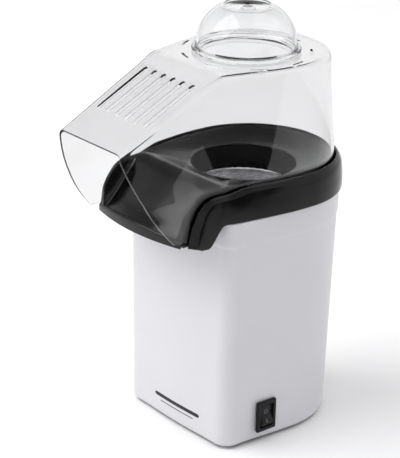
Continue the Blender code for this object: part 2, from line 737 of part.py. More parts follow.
def chamber_gasket():
    profile = [(43 * MM, 157.7 * MM), (43 * MM, 155.8 * MM), (34.5 * MM, 155.8 * MM), (34.5 * MM, 157.7 * MM)]
    return smooth(add("chamber_gasket", turned_mesh(profile, 30), material("silicone", (0.5, 0.48, 0.45, 1), 0.7)))


def mica_board(name, turn, slot_up):
    """One of two boards that cross on the axis, each slotted half way."""
    half, low, high = 24 * MM, 81 * MM, 105 * MM
    middle = (low + high) / 2
    obj = add(name, box_mesh((half * 2, 1 * MM, high - low), (0, 0, middle)), material("mica", MICA, 0.5))
    edge = high if slot_up else low
    boolean(obj, box_mesh((1.6 * MM, 4 * MM, (high - low) + 0.6 * MM), (0, 0, edge)))
    obj.data.transform(Matrix.Rotation(turn, 4, "Z"))
    return obj


def heating_coil():
    points = []
    turns, per_turn = 4, 14
    for i in range(turns * per_turn + 1):
        a = 2 * math.pi * i / per_turn
        z = mix(84 * MM, 102 * MM, i / (turns * per_turn))
        points.append((26 * MM * math.cos(a), 26 * MM * math.sin(a), z))
    return tube("heating_coil", points, 1.0 * MM, material("heater_wire", (0.35, 0.3, 0.28, 1), 0.4, 1))


# ---------------------------------------------------------------- fan and motor

def fan_housing():
    r, wall, low, high = 36 * MM, 1.6 * MM, 52 * MM, 78.6 * MM
    profile = [(r, high), (r, low), (21 * MM, low), (21 * MM, low + wall), (r - wall, low + wall), (r - wall, high)]
    return smooth(add("fan_housing", turned_mesh(profile, 30), material("grey_nylon", (0.25, 0.25, 0.26, 1), 0.5)))


def fan_impeller():
    profile = [(0, 73 * MM), (6 * MM, 73 * MM), (7 * MM, 59.5 * MM), (30 * MM, 59.5 * MM), (30 * MM, 58 * MM),
               (1.9 * MM, 58 * MM), (1.9 * MM, 70 * MM), (0, 70 * MM)]
    obj = add("fan_impeller", turned_mesh(profile, 30), material("fan_nylon", (0.1, 0.1, 0.1, 1), 0.5))
    blades = []
    for i in range(9):
        mesh = box_mesh((18 * MM, 1.2 * MM, 13 * MM), (19.5 * MM, 0, 65 * MM))
        blades.append(moved(mesh, Matrix.Rotation(2 * math.pi * i / 9, 4, "Z")))
    return boolean(obj, joined(blades), "UNION")


def motor_bracket():
    obj = add("motor_bracket", box_mesh((66 * MM, 12 * MM, 1.5 * MM), (0, 0, 50.2 * MM)),
              material("galvanised", STEEL, 0.4, 1))
    holes = [rod_mesh(3 * MM, (0, 0, 45 * MM), (0, 0, 55 * MM), 24)]
    holes += [rod_mesh(1.4 * MM, (x, 0, 45 * MM), (x, 0, 55 * MM)) for x in (-10 * MM, 10 * MM)]
    return boolean(obj, joined(holes))


def motor_screws():
    for i, x in enumerate((-10 * MM, 10 * MM)):
        mesh = moved(screw_mesh(51.25 * MM, 45 * MM, 2.2 * MM, 1.1 * MM, 1.2 * MM), Matrix.Translation((x, 0, 0)))
        smooth(add(f"motor_screw_{i + 1}", mesh, material("screw_steel", STEEL, 0.35, 1)))


def motor_can():
    r, wall, low, high = 17.5 * MM, 1 * MM, 16 * MM, 49.1 * MM
    profile = [(r, high), (r, low), (r - wall, low), (r - wall, high - 1.4 * MM), (2.2 * MM, high - 1.4 * MM),
               (2.2 * MM, high)]
    obj = add("motor_can", turned_mesh(profile, 32), material("motor_steel", STEEL, 0.3, 1))
    holes = [rod_mesh(1.4 * MM, (x, 0, 40 * MM), (x, 0, 55 * MM)) for x in (-10 * MM, 10 * MM)]
    boolean(obj, joined(holes))
    return smooth(obj)


def motor_end_cap():
    profile = [(0, 15.7 * MM), (17 * MM, 15.7 * MM), (17 * MM, 12 * MM), (0, 12 * MM)]
    return smooth(add("motor_end_cap", turned_mesh(profile, 32), material("black_abs", BLACK, 0.6)))


def motor_magnets():
    """Two curved magnets, one on each side of the armature."""
    for name, side in (("left", -1), ("right", 1)):
        profile = [(16.2 * MM, 42 * MM), (16.2 * MM, 20 * MM), (12.6 * MM, 20 * MM), (12.6 * MM, 42 * MM)]
        obj = add(f"motor_magnet_{name}", turned_mesh(profile, 32), material("ferrite", (0.05, 0.05, 0.05, 1), 0.7))
        boolean(obj, box_mesh((24 * MM, 40 * MM, 40 * MM), (-side * 8 * MM, 0, 30 * MM)))


def motor_shaft():
    return smooth(add("motor_shaft", rod_mesh(1.6 * MM, (0, 0, 17 * MM), (0, 0, 69.6 * MM), 16),
                      material("screw_steel", STEEL, 0.35, 1)))


def motor_armature():
    profile = [(11.6 * MM, 40 * MM), (11.6 * MM, 22 * MM), (1.9 * MM, 22 * MM), (1.9 * MM, 40 * MM)]
    return smooth(add("motor_armature", turned_mesh(profile, 32), material("copper", (0.7, 0.35, 0.2, 1), 0.4, 1)))


# ---------------------------------------------------------------- electrics

def rectifier_board():
    return add("rectifier_board", box_mesh((1.6 * MM, 24 * MM, 18 * MM), (-36 * MM, -4 * MM, 24 * MM)),
               material("circuit_board", BOARD, 0.6))


def rectifier_diodes():
    for i in range(4):
        y, z = (-12 + 5.3 * i) * MM, 24 * MM
        mesh = rod_mesh(1.5 * MM, (-33.3 * MM, y, z - 4 * MM), (-33.3 * MM, y, z + 4 * MM), 12)
        smooth(add(f"rectifier_diode_{i + 1}", mesh, material("black_abs", BLACK, 0.6)))


def thermostat():
    y = SLEEVE_R + 0.3 * MM
    profile = [(8 * MM, 5 * MM), (8 * MM, 0), (0, 0)]
    mesh = turned_mesh([(0, 5 * MM)] + profile, 24)
    mesh = moved(mesh, Matrix.Translation((0, y, 108 * MM)) @ Matrix.Rotation(-math.pi / 2, 4, "X"))
    return smooth(add("thermostat", mesh, material("brown_bakelite", (0.15, 0.07, 0.04, 1), 0.4)))


def thermal_fuse():
    x = -(SLEEVE_R + 2.4 * MM)
    mesh = rod_mesh(2 * MM, (x, 0, 96 * MM), (x, 0, 110 * MM), 16)
    return smooth(add("thermal_fuse", mesh, material("fuse_metal", BRASS, 0.3, 1)))


def terminal_block():
    obj = add("terminal_block", box_mesh((24 * MM, 12 * MM, 10 * MM), (0, 33 * MM, 13 * MM)),
              material("natural_nylon", (0.8, 0.8, 0.75, 1), 0.5))
    holes = [rod_mesh(2 * MM, (x, 20 * MM, 12 * MM), (x, 45 * MM, 12 * MM)) for x in (-7 * MM, 0, 7 * MM)]
    return boolean(obj, joined(holes))


def lead(name, corners, colour):
    """A short internal lead, rounded through its corner points."""
    points = []
    steps = 4
    route = [Vector(c) * MM for c in corners]
    for i in range(len(route) - 1):
        p0 = route[max(i - 1, 0)]
        p1, p2 = route[i], route[i + 1]
        p3 = route[min(i + 2, len(route) - 1)]
        for k in range(steps):
            t = k / steps
            points.append(0.5 * ((2 * p1) + (p2 - p0) * t + (2 * p0 - 5 * p1 + 4 * p2 - p3) * t ** 2
                                 + (3 * p1 - p0 - 3 * p2 + p3) * t ** 3))
    points.append(route[-1])
    return tube(name, points, 1.1 * MM, material(name, colour, 0.5))


def leads():
    lead("switch_lead", [(28, -21.4, 13.9), (24, -21.4, 12), (22, 0, 10), (16, 20, 11), (7, 26.5, 12)],
         (0.5, 0.25, 0.1, 1))
    lead("heater_lead", [(28, -21.4, 23.9), (25, -24, 30), (34, -30, 60), (40, -26, 84), (38.5, -20, 100)],
         (0.85, 0.85, 0.8, 1))
    lead("motor_lead", [(-32, 4, 33.5), (-28, 4, 37), (-26, 2, 28), (-24, 0, 16), (-17.5, 0, 13.5)],
         (0.6, 0.05, 0.05, 1))


# ---------------------------------------------------------------- assembly

def build():
    start()
    base_housing()
    bottom_cover()
    rubber_feet()
    cover_screws()
    cord_grommet()
    switch_body()
    switch_rocker()
    switch_terminals()
    collar()
    chute_tray()
    hood()
    measuring_cup()
    popping_chamber()
    air_sleeve()
    chamber_gasket()
    mica_board("mica_board_a", 0.0, True)
    mica_board("mica_board_b", math.pi / 2, False)
    heating_coil()
    fan_housing()
    fan_impeller()
    motor_bracket()
    motor_screws()
    motor_can()
    motor_end_cap()
    motor_magnets()
    motor_shaft()
    motor_armature()
    rectifier_board()
    rectifier_diodes()
    thermostat()
    thermal_fuse()
    terminal_block()
    leads()
    for obj in model.objects:
        obj.location.y += AXIS_Y


build()
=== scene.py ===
"""Looks of a hot-air popcorn maker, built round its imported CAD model.

Shapes are written in millimetres about the popping chamber's axis (x = 0, y = 0), with the chute
towards -Y and the switch on +X. place() turns them into metres in the model's own frame.
"""

import math

import bmesh
import bpy
from mathutils import Matrix, Vector


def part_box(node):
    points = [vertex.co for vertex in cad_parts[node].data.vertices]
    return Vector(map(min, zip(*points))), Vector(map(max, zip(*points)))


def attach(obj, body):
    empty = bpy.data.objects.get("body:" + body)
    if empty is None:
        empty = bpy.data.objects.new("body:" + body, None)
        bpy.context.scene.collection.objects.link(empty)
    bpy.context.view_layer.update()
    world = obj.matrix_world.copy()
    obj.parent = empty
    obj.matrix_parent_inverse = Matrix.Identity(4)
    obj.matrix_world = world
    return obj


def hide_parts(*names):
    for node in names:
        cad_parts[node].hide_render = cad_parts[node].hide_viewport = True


MM = 0.001
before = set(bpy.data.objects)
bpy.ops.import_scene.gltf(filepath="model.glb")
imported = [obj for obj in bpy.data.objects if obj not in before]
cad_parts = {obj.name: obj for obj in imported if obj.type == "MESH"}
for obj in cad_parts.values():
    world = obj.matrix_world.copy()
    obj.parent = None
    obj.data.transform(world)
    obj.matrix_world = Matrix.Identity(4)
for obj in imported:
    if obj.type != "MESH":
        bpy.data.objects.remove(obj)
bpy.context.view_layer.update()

CHAMBER_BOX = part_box("popping_chamber")
AXIS_Y = (CHAMBER_BOX[0].y + CHAMBER_BOX[1].y) / 2
TO_MODEL = Matrix.Translation((0, AXIS_Y, 0)) @ Matrix.Scale(MM, 4)


def box_of(node):
    """Lowest and highest corner of a CAD node, in millimetres about the axis."""
    low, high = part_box(node)
    shift = Vector((0, AXIS_Y, 0))
    return (low - shift) / MM, (high - shift) / MM


# ---------------------------------------------------------------- driving dimensions

HOUSING_LOW, HOUSING_HIGH = box_of("base_housing")
COVER_LOW, COVER_HIGH = box_of("bottom_cover")
COLLAR_LOW, COLLAR_HIGH = box_of("collar")
HOOD_LOW, HOOD_HIGH = box_of("hood")
TRAY_HIGH = box_of("chute_tray")[1]
CUP_HIGH = box_of("measuring_cup")[1]
BOWL_HIGH = box_of("popping_chamber")[1]

# The housing. A pair holds the value at the foot and the value at the shoulder.
HOUSING_WALL = 2.4
SHOULDER_Z = 143.0
FRONT_Y = (-54.2, -55.3)
FRONT_HALF = (51.5, 53.0)
FRONT_CORNER = 11
FRONT_BOW = 1.1
SIDE_HALF = (54.0, 55.8)
SIDE_END_Y = (6.5, 9.0)
POST_PROFILE = ((4.6, 30), (4.6, 5.8), (1.8, 5.8), (1.8, 30))
LEAD_Z, LEAD_HOLE_R = 16, 5.3
AIR_SLOTS, AIR_SLOT_PITCH = 8, 7
SWITCH_Y, SWITCH_Z = -21.4, 18.9
BEZEL_STAND, PIVOT_DEPTH, ROCKER_TILT = 0.9, 1.0, 8

# The tray: its rim, the chute in front of the ridge, the lip at the chute's end, the dish's hole.
TRAY_HALF = TRAY_HIGH.x
REAR_CENTRE = TRAY_HIGH.y - TRAY_HALF
RIM_Z = 180.8
RIM_DROP_Y = -60.0
CHUTE_HALF = 41.6
CHUTE_START = 68.0
RIDGE_Y = -53.0
RIDGE_Z = 182.75
LIP_SIDE_Y = -84.0
LIP_BOW = 6.0
LIP_Z = 149.0
HOLE_R, HOLE_Z, HOLE_EDGE_R = 34.3, 175.2, 0.9
SKIRT_Z = 160.0
BEAD = 1.5
TRAY_WALL = 1.2

# The collar and its wings.
GROOVE_Z = 162.0
COLLAR_OFFSET = COLLAR_HIGH.x - TRAY_HALF
COLLAR_RIM = COLLAR_HIGH.z
COLLAR_RIM_DEPTH = 5.2
COLLAR_BOTTOM = 159.3
WING_BOTTOM = COLLAR_LOW.z
WING_REACH = 21.5
WING_TIP_SETBACK = 3.4

# The hood: its free edge in front, its roof, and the openings in the roof.
HOOD_WALL = 1.6
HOOD_STAND = 2.4
HOOD_SEAT_Z = 163
HOOD_KNEE_Z = 182.0
HOOD_TOP = HOOD_HIGH.z
FREE_EDGE_LOW_Y = -91.3
FREE_EDGE_KNEE_Y = -111.9
FREE_EDGE_ROOF_Y = HOOD_LOW.y
ROOF_HALF = 48.3
ROOF_CENTRE = 8.0
ROOF_CORNER = 4.5
CREASE_Y, CREASE_Z, CREASE_SOFT = -50.0, 214.0, 1.5
ROOF_SLOPE = (HOOD_TOP - CREASE_Z) / (CREASE_Y - FREE_EDGE_ROOF_Y)
SLOTS, SLOT_PITCH, SLOT_Y = 6, 9.3, -81
VENTS, VENT_R_IN, VENT_R_OUT, VENT_HALF_ANGLE = 9, 40.8, 42.3, 7
CUP_HOLE_R = 30.5

# The cup's dome and the chamber's bowl.
DOME_R, DOME_RISE, DOME_BASE_Z, DOME_WALL = 32.6, 29.8, 254.0, 1.5
BOWL_R, BOWL_BOTTOM_Z, BOWL_WALL = 33.0, 108.0, 0.8
LOUVRES, LOUVRE_Z = 10, 121


# ---------------------------------------------------------------- small tools

def mix(a, b, t):
    return a + (b - a) * t


def blend(t):
    """Smooth step from 0 to 1."""
    t = min(max(t, 0.0), 1.0)
    return t * t * (3 - 2 * t)


def soft(x, width):
    """0 well below zero and x well above it, with a rounded turn between."""
    return (x + math.sqrt(x * x + width * width)) / 2


def arc(cx, cy, radius, start, end, steps):
    """Points on an arc, angles in degrees."""
    angles = [math.radians(mix(start, end, i / steps)) for i in range(steps + 1)]
    return [(cx + radius * math.cos(a), cy + radius * math.sin(a)) for a in angles]


def flowing(points, steps):
    """A Catmull-Rom line through a few points of any dimension."""
    line = []
    for i in range(len(points) - 1):
        p0, p1, p2 = points[max(i - 1, 0)], points[i], points[i + 1]
        p3 = points[min(i + 2, len(points) - 1)]
        for k in range(steps):
            t = k / steps
            line.append(tuple(
                0.5 * (2 * b + (c - a) * t + (2 * a - 5 * b + 4 * c - d) * t ** 2
                       + (3 * b - a - 3 * c + d) * t ** 3)
                for a, b, c, d in zip(p0, p1, p2, p3)))
    return line + [tuple(points[-1])]


def skin(rows, around=True, loop=False, caps=False):
    """A surface over rows of points: around closes each row, loop joins the last row to the first."""
    bm = bmesh.new()
    made = [[bm.verts.new(p) for p in row] for row in rows]
    count = len(rows[0])
    pairs = list(zip(made, made[1:])) + ([(made[-1], made[0])] if loop else [])
    for low, high in pairs:
        for i in range(count if around else count - 1):
            k = (i + 1) % count
            bm.faces.new((low[i], low[k], high[k], high[i]))
    if caps:
        bm.faces.new(list(reversed(made[0])))
        bm.faces.new(made[-1])
    return bm


def turned(profile, steps=64, closed=False):
    """Turn (radius, height) points about Z. A radius of 0 closes the end in a point."""
    bm = bmesh.new()
    rings = []
    for r, z in profile:
        if r < 1e-6:
            rings.append([bm.verts.new((0, 0, z))])
        else:
            turns = [2 * math.pi * i / steps for i in range(steps)]
            rings.append([bm.verts.new((r * math.cos(a), r * math.sin(a), z)) for a in turns])
    for a, b in list(zip(rings, rings[1:])) + ([(rings[-1], rings[0])] if closed else []):
        for i in range(steps):
            k = (i + 1) % steps
            corners = [a[i % len(a)], a[k % len(a)], b[k % len(b)], b[i % len(b)]]
            corners = list(dict.fromkeys(corners))
            if len(corners) > 2:
                bm.faces.new(corners)
    return bm


def rod(radius, start, end, steps=24):
    """A round bar between two points."""
    a, b = Vector(start), Vector(end)
    turn = (b - a).to_track_quat("Z", "Y").to_matrix().to_4x4()
    bm = bmesh.new()
    bmesh.ops.create_cone(bm, cap_ends=True, segments=steps, radius1=radius, radius2=radius,
                          depth=(b - a).length, matrix=Matrix.Translation((a + b) / 2) @ turn)
    return bm


def prism(outline, low, high):
    """A solid between two heights over a closed outline of (x, y) points."""
    return skin([[(x, y, z) for x, y in outline] for z in (low, high)], caps=True)


def rounded_box_outline(half_x, half_y, radius, steps=6):
    """A rectangle with round corners, as (x, y) points."""
    points = []
    for sx, sy, start in ((1, 1, 0), (-1, 1, 90), (-1, -1, 180), (1, -1, 270)):
        cx, cy = sx * (half_x - radius), sy * (half_y - radius)
        points += arc(cx, cy, radius, start, start + 90, steps)
    return points


def moved(bm, matrix):
    bm.transform(matrix)
    return bm


def joined(parts):
    """One bmesh that holds several solids."""
    whole = bmesh.new()
    for part in parts:
        mesh = bpy.data.meshes.new("part")
        part.to_mesh(mesh)
        part.free()
        whole.from_mesh(mesh)
        bpy.data.meshes.remove(mesh)
    return whole


def new_object(name, bm):
    """An object in the scene with this bmesh as its mesh; the bmesh goes."""
    mesh = bpy.data.meshes.new(name)
    bm.to_mesh(mesh)
    bm.free()
    obj = bpy.data.objects.new(name, mesh)
    bpy.context.scene.collection.objects.link(obj)
    return obj


def workpiece(bm):
    """A temporary object for a modifier to work on."""
    bmesh.ops.recalc_face_normals(bm, faces=bm.faces)
    return new_object("work", bm)


def worked(obj):
    """The temporary object's mesh with its modifiers applied; the object goes."""
    graph = bpy.context.evaluated_depsgraph_get()
    mesh = bpy.data.meshes.new_from_object(obj.evaluated_get(graph))
    bm = bmesh.new()
    bm.from_mesh(mesh)
    bpy.data.meshes.remove(mesh)
    bpy.data.objects.remove(obj)
    return bm


def boolean(bm, tool, operation="DIFFERENCE"):
    """Cut a solid by a tool, or join them; both are used up."""
    body, cutter = workpiece(bm), workpiece(tool)
    step = body.modifiers.new("cut", "BOOLEAN")
    step.operation = operation
    step.solver = "EXACT"
    step.object = cutter
    result = worked(body)
    bpy.data.objects.remove(cutter)
    return result


def thickened(bm, wall, even=True):
    """Give an open surface a wall on its inner side."""
    body = workpiece(bm)
    step = body.modifiers.new("wall", "SOLIDIFY")
    step.thickness = wall
    step.offset = -1
    step.use_even_offset = even
    return worked(body)


def place(name, bm, mat, body, stands_for=(), sharp=32):
    """Finish a piece: into the model's frame, shaded, on its body."""
    bmesh.ops.remove_doubles(bm, verts=bm.verts, dist=0.002)
    bmesh.ops.recalc_face_normals(bm, faces=bm.faces)
    bm.transform(TO_MODEL)
    obj = new_object(name, bm)
    obj.data.shade_smooth()
    obj.data.set_sharp_from_angle(angle=math.radians(sharp))
    obj.data.materials.append(mat)
    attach(obj, body)
    if stands_for:
        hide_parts(*stands_for)


# ---------------------------------------------------------------- materials

class Finish:
    """A Principled material with its own coordinates, built up layer by layer."""

    def __init__(self, name, colour, roughness, **sockets):
        self.mat = bpy.data.materials.new(name)
        self.mat.use_nodes = True
        self.tree = self.mat.node_tree
        self.shader = self.tree.nodes["Principled BSDF"]
        self.shader.inputs["Base Color"].default_value = (*colour, 1)
        self.shader.inputs["Roughness"].default_value = roughness
        for socket, value in sockets.items():
            self.shader.inputs[socket.replace("_", " ")].default_value = value
        self.colour = colour
        self.height = None
        self.place = self.tree.nodes.new("ShaderNodeTexCoord").outputs["Object"]

    def node(self, kind, **sockets):
        made = self.tree.nodes.new(kind)
        for socket, value in sockets.items():
            made.inputs[socket.replace("_", " ")].default_value = value
        return made

    def link(self, source, target):
        self.tree.links.new(source, target)

    def noise(self, scale, detail=2.0, stretch=(1, 1, 1), rough=0.5):
        """Noise with features 1/scale metres apart, stretched along an axis."""
        turn = self.node("ShaderNodeMapping", Scale=stretch)
        self.link(self.place, turn.inputs["Vector"])
        made = self.node("ShaderNodeTexNoise", Scale=scale, Detail=detail, Roughness=rough)
        self.link(turn.outputs["Vector"], made.inputs["Vector"])
        return made.outputs["Fac"]

    def tinted(self, pattern, colour, start=0.4, end=0.7):
        """Blend the base colour towards another where the pattern is high."""
        ramp = self.node("ShaderNodeValToRGB")
        ramp.color_ramp.elements[0].position = start
        ramp.color_ramp.elements[0].color = (*self.colour, 1)
        ramp.color_ramp.elements[1].position = end
        ramp.color_ramp.elements[1].color = (*colour, 1)
        self.link(pattern, ramp.inputs[0])
        self.link(ramp.outputs[0], self.shader.inputs["Base Color"])

    def roughened(self, pattern, low, high):
        """Map the middle of a pattern onto a range of roughness, clamped."""
        made = self.node("ShaderNodeMapRange")
        for index, value in enumerate((0.3, 0.7, low, high)):
            made.inputs[index + 1].default_value = value
        self.link(pattern, made.inputs[0])
        self.link(made.outputs[0], self.shader.inputs["Roughness"])

    def bumped(self, pattern, distance, strength=1.0):
        """Add a relief of this height in millimetres on top of the ones already there."""
        made = self.node("ShaderNodeBump", Strength=strength, Distance=distance * MM)
        self.link(pattern, made.inputs["Height"])
        if self.height is not None:
            self.link(self.height, made.inputs["Normal"])
        self.height = made.outputs["Normal"]
        self.link(self.height, self.shader.inputs["Normal"])


def white_plastic():
    """Moulded plastic with a fine grain and a trace of waviness."""
    f = Finish("white_plastic", (0.625, 0.622, 0.65), 0.34, IOR=1.5)
    f.tinted(f.noise(16, 3), (0.605, 0.602, 0.628))
    f.roughened(f.noise(60, 4), 0.30, 0.40)
    f.bumped(f.noise(2600, 2), 0.006)
    f.bumped(f.noise(22, 1), 0.25, 0.25)
    return f.mat


def black_plastic(name, ior):
    """Polished black plastic with fine scuffs; ior sets how strongly it mirrors."""
    f = Finish(name, (0.0032, 0.003, 0.0031), 0.2, IOR=ior)
    f.tinted(f.noise(420, 4), (0.006, 0.0058, 0.006), 0.45, 0.85)
    f.roughened(f.noise(110, 5), 0.13, 0.24)
    f.bumped(f.noise(1900, 2), 0.004)
    f.bumped(f.noise(26, 1), 0.3, 0.3)
    f.bumped(f.noise(300, 3, (1, 1, 14)), 0.003)
    return f.mat


def satin_black(name, colour, low, high, grain=1400):
    """Textured black plastic or rubber, roughness from low to high."""
    f = Finish(name, colour, (low + high) / 2, IOR=1.4, Specular_IOR_Level=0.28)
    f.tinted(f.noise(90, 4), tuple(c * 1.7 + 0.002 for c in colour))
    f.roughened(f.noise(240, 4), low, high)
    f.bumped(f.noise(grain, 3), 0.02)
    return f.mat


def clear_plastic(name, tint, ior):
    """Clear plastic; a low ior keeps its edge lines faint."""
    f = Finish(name, tint, 0.02, IOR=ior, Transmission_Weight=1.0)
    f.roughened(f.noise(70, 5), 0.012, 0.045)
    f.bumped(f.noise(24, 2), 0.06, 0.3)
    f.bumped(f.noise(420, 3, (1, 1, 8)), 0.0012)
    return f.mat


def metal(name, colour, low, high, stretch=(1, 1, 1), scratch=0.004, spots=None):
    """Bare metal with clouded spots; its scratches run along the stretch."""
    f = Finish(name, colour, (low + high) / 2, Metallic=1.0)
    f.tinted(f.noise(70, 4), spots or tuple(c * 0.72 for c in colour), 0.45, 0.8)
    f.roughened(f.noise(180, 4, stretch), low, high)
    f.bumped(f.noise(900, 3, stretch), scratch)
    return f.mat


def matt(name, colour, other, rough=0.55, scale=250, relief=0.02):
    """Moulded, sintered or woven small parts: two tones, a fine relief."""
    f = Finish(name, colour, rough)
    f.tinted(f.noise(scale, 4), other)
    f.roughened(f.noise(scale * 2, 3), rough - 0.1, rough + 0.12)
    f.bumped(f.noise(scale * 5, 3), relief)
    return f.mat


WHITE = white_plastic()
BLACK = black_plastic("black_gloss", 1.38)
BLACK_BAND = black_plastic("black_band", 1.31)
CLEAR = clear_plastic("clear_hood", (0.89, 0.89, 0.893), 1.36)
CLEAR_CUP = clear_plastic("clear_cup", (0.93, 0.932, 0.934), 1.27)
ALUMINIUM = metal("aluminium", (0.78, 0.78, 0.79), 0.2, 0.32, (1, 1, 30), 0.002)
STEEL = metal("screw_steel", (0.56, 0.57, 0.6), 0.24, 0.42)
GALVANISED = metal("galvanised", (0.5, 0.52, 0.54), 0.32, 0.5, spots=(0.62, 0.64, 0.67))
COPPER = metal("copper", (0.62, 0.28, 0.14), 0.28, 0.45, (1, 1, 22), 0.05)
BRASS = metal("brass", (0.66, 0.47, 0.2), 0.24, 0.4)
WIRE = metal("heater_wire", (0.3, 0.26, 0.25), 0.35, 0.55, spots=(0.16, 0.13, 0.14))
ABS = satin_black("black_abs", (0.014, 0.014, 0.015), 0.42, 0.6)
SWITCH_BLACK = satin_black("switch_black", (0.003, 0.003, 0.0035), 0.3, 0.42, 2600)
ROCKER_BLACK = satin_black("rocker_black", (0.005, 0.005, 0.006), 0.24, 0.34, 3000)
RUBBER = satin_black("rubber", (0.02, 0.02, 0.021), 0.7, 0.88, 900)
PRINT = satin_black("dark_print", (0.02, 0.02, 0.022), 0.3, 0.4)
MARKING = matt("white_marking", (0.16, 0.16, 0.17), (0.12, 0.12, 0.13), 0.45, 500, 0.004)
SILICONE = matt("silicone", (0.5, 0.48, 0.45), (0.42, 0.4, 0.38), 0.6)
MICA = matt("mica", (0.55, 0.45, 0.3), (0.35, 0.27, 0.17), 0.4, 140, 0.03)
NYLON = matt("grey_nylon", (0.16, 0.16, 0.17), (0.12, 0.12, 0.13), 0.45)
FERRITE = matt("ferrite", (0.04, 0.04, 0.045), (0.07, 0.07, 0.075), 0.65)
BOARD = matt("circuit_board", (0.26, 0.17, 0.06), (0.2, 0.13, 0.05), 0.5, 400)
BAKELITE = matt("bakelite", (0.12, 0.055, 0.03), (0.08, 0.035, 0.02), 0.35)
TERMINAL = matt("natural_nylon", (0.74, 0.73, 0.67), (0.66, 0.64, 0.56), 0.45)
BROWN = matt("lead_brown", (0.2, 0.1, 0.05), (0.15, 0.07, 0.035), 0.4)
CREAM = matt("lead_white", (0.72, 0.7, 0.62), (0.6, 0.58, 0.5), 0.5)
RED = matt("lead_red", (0.42, 0.03, 0.03), (0.3, 0.02, 0.02), 0.4)


# ---------------------------------------------------------------- base housing

def mirrored(right):
    """Close an outline from its right half, which runs from the front middle to the rear middle."""
    return right + [(-x, y) for x, y in reversed(right[1:-1])]


def front_bow(x, flat):
    """How far the bowed front stands out at x; flat is where it runs into the corner."""
    return FRONT_BOW * (1 + math.cos(math.pi * x / flat)) / 2


def body_outline(z, inset=0.0):
    """Bowed front, round corners, swelling sides and a half-round rear."""
    up = min(z / SHOULDER_Z, 1.0)
    front = mix(*FRONT_Y, up) + inset
    corner = FRONT_CORNER - inset
    half_front = mix(*FRONT_HALF, up) - inset
    half_rear = mix(*SIDE_HALF, up) - inset
    rear_centre = mix(*SIDE_END_Y, up)
    flat = half_front - corner
    right = []
    for i in range(12):
        x = flat * i / 12
        right.append((x, front - front_bow(x, flat)))
    right += arc(flat, front + corner, corner, -90, 0, 14)
    for i in range(1, 16):
        back = i / 16
        half = mix(half_front, half_rear, blend(back))
        right.append((half, mix(front + corner, rear_centre, back)))
    right += arc(0, rear_centre, half_rear, 0, 90, 32)
    right[-1] = (0, right[-1][1])
    return mirrored(right)


def side_x(y, z):
    """The housing's right wall at a place beside the straight stretch."""
    points = [p for p in body_outline(z) if p[0] > 40]
    points.sort(key=lambda p: p[1])
    for a, b in zip(points, points[1:]):
        if a[1] <= y <= b[1]:
            return mix(a[0], b[0], (y - a[1]) / (b[1] - a[1]))
    return points[0][0]


def flare(z):
    """How far the wall steps out above the shoulder, under the collar."""
    return (HOUSING_HIGH.x - SIDE_HALF[1]) * blend((z - SHOULDER_Z + 1.1) / 2.2)


SCREW_PLACES = [(side * x, y) for side in (-1, 1) for x, y in ((43.7, -46.5), (36.5, 37.1))]
FOOT_PLACES = [(side * x, y) for side in (-1, 1) for x, y in ((31, -43), (22, 40))]
FACE_SIDE = Matrix.Rotation(math.pi / 2, 4, "Z") @ Matrix.Rotation(math.pi / 2, 4, "X")


def housing():
    """Outer wall with a rounded foot and a soft shoulder, inner wall, screw posts, two openings."""
    low, high = HOUSING_LOW.z, HOUSING_HIGH.z
    section = [(2.1 * (1 - math.sin(a)), low + 4 * (1 - math.cos(a)))
               for a in (math.radians(9 * i) for i in range(11))]
    section += [(0, z) for z in range(16, 138, 10)]
    shoulder = (139, 141, 141.7, 142.1, 142.5, 142.9, 143.3, 143.7, 144.2, 145, 149, 154)
    section += [(-flare(z), z) for z in shoulder]
    section += [(-flare(high), high - 0.4), (0.4 - flare(high), high), (HOUSING_WALL - 0.4, high)]
    section += [(HOUSING_WALL, z) for z in (high - 0.4, 146, 138, 100, 60, 20, low + 0.3)]
    rows = [[(x, y, z) for x, y in body_outline(z, inset)] for inset, z in section]
    shell = skin(rows, loop=True)
    posts = [moved(turned(POST_PROFILE, 24, True), Matrix.Translation((x, y, 0)))
             for x, y in SCREW_PLACES]
    shell = boolean(shell, joined(posts), "UNION")
    shell = boolean(shell, rod(LEAD_HOLE_R, (0, 40, LEAD_Z), (0, 75, LEAD_Z), 40))
    spot = Matrix.Translation((side_x(SWITCH_Y, SWITCH_Z), SWITCH_Y, SWITCH_Z))
    opening = moved(prism(rounded_box_outline(6.7, 9.8, 0.8), -10, 10), spot @ FACE_SIDE)
    shell = boolean(shell, opening)
    place("housing_shell", shell, WHITE, "base", ["base_housing"])


MARKS = (("print_bar", 16.2, 23, 1.3), ("print_line", 12.4, 17, 0.3))
MARK_SHIFT, MARK_LIFT, MARK_THICKNESS = 3, 0.06, 0.05


def front_mark():
    """A plain printed bar with a thin line under it, low on the front."""
    for name, z, half_width, half_height in MARKS:
        up = z / SHOULDER_Z
        front = mix(*FRONT_Y, up)
        flat = mix(*FRONT_HALF, up) - FRONT_CORNER
        rows = []
        for k in range(5):
            dz = mix(-half_height, half_height, k / 4)
            reach = half_width - half_height + math.sqrt(max(half_height ** 2 - dz ** 2, 0.0))
            xs = [mix(-reach, reach, i / 32) + MARK_SHIFT for i in range(33)]
            rows.append([(x, front - front_bow(x, flat) - MARK_LIFT, z + dz) for x in xs])
        place(name, thickened(skin(rows, around=False), MARK_THICKNESS), PRINT, "base")


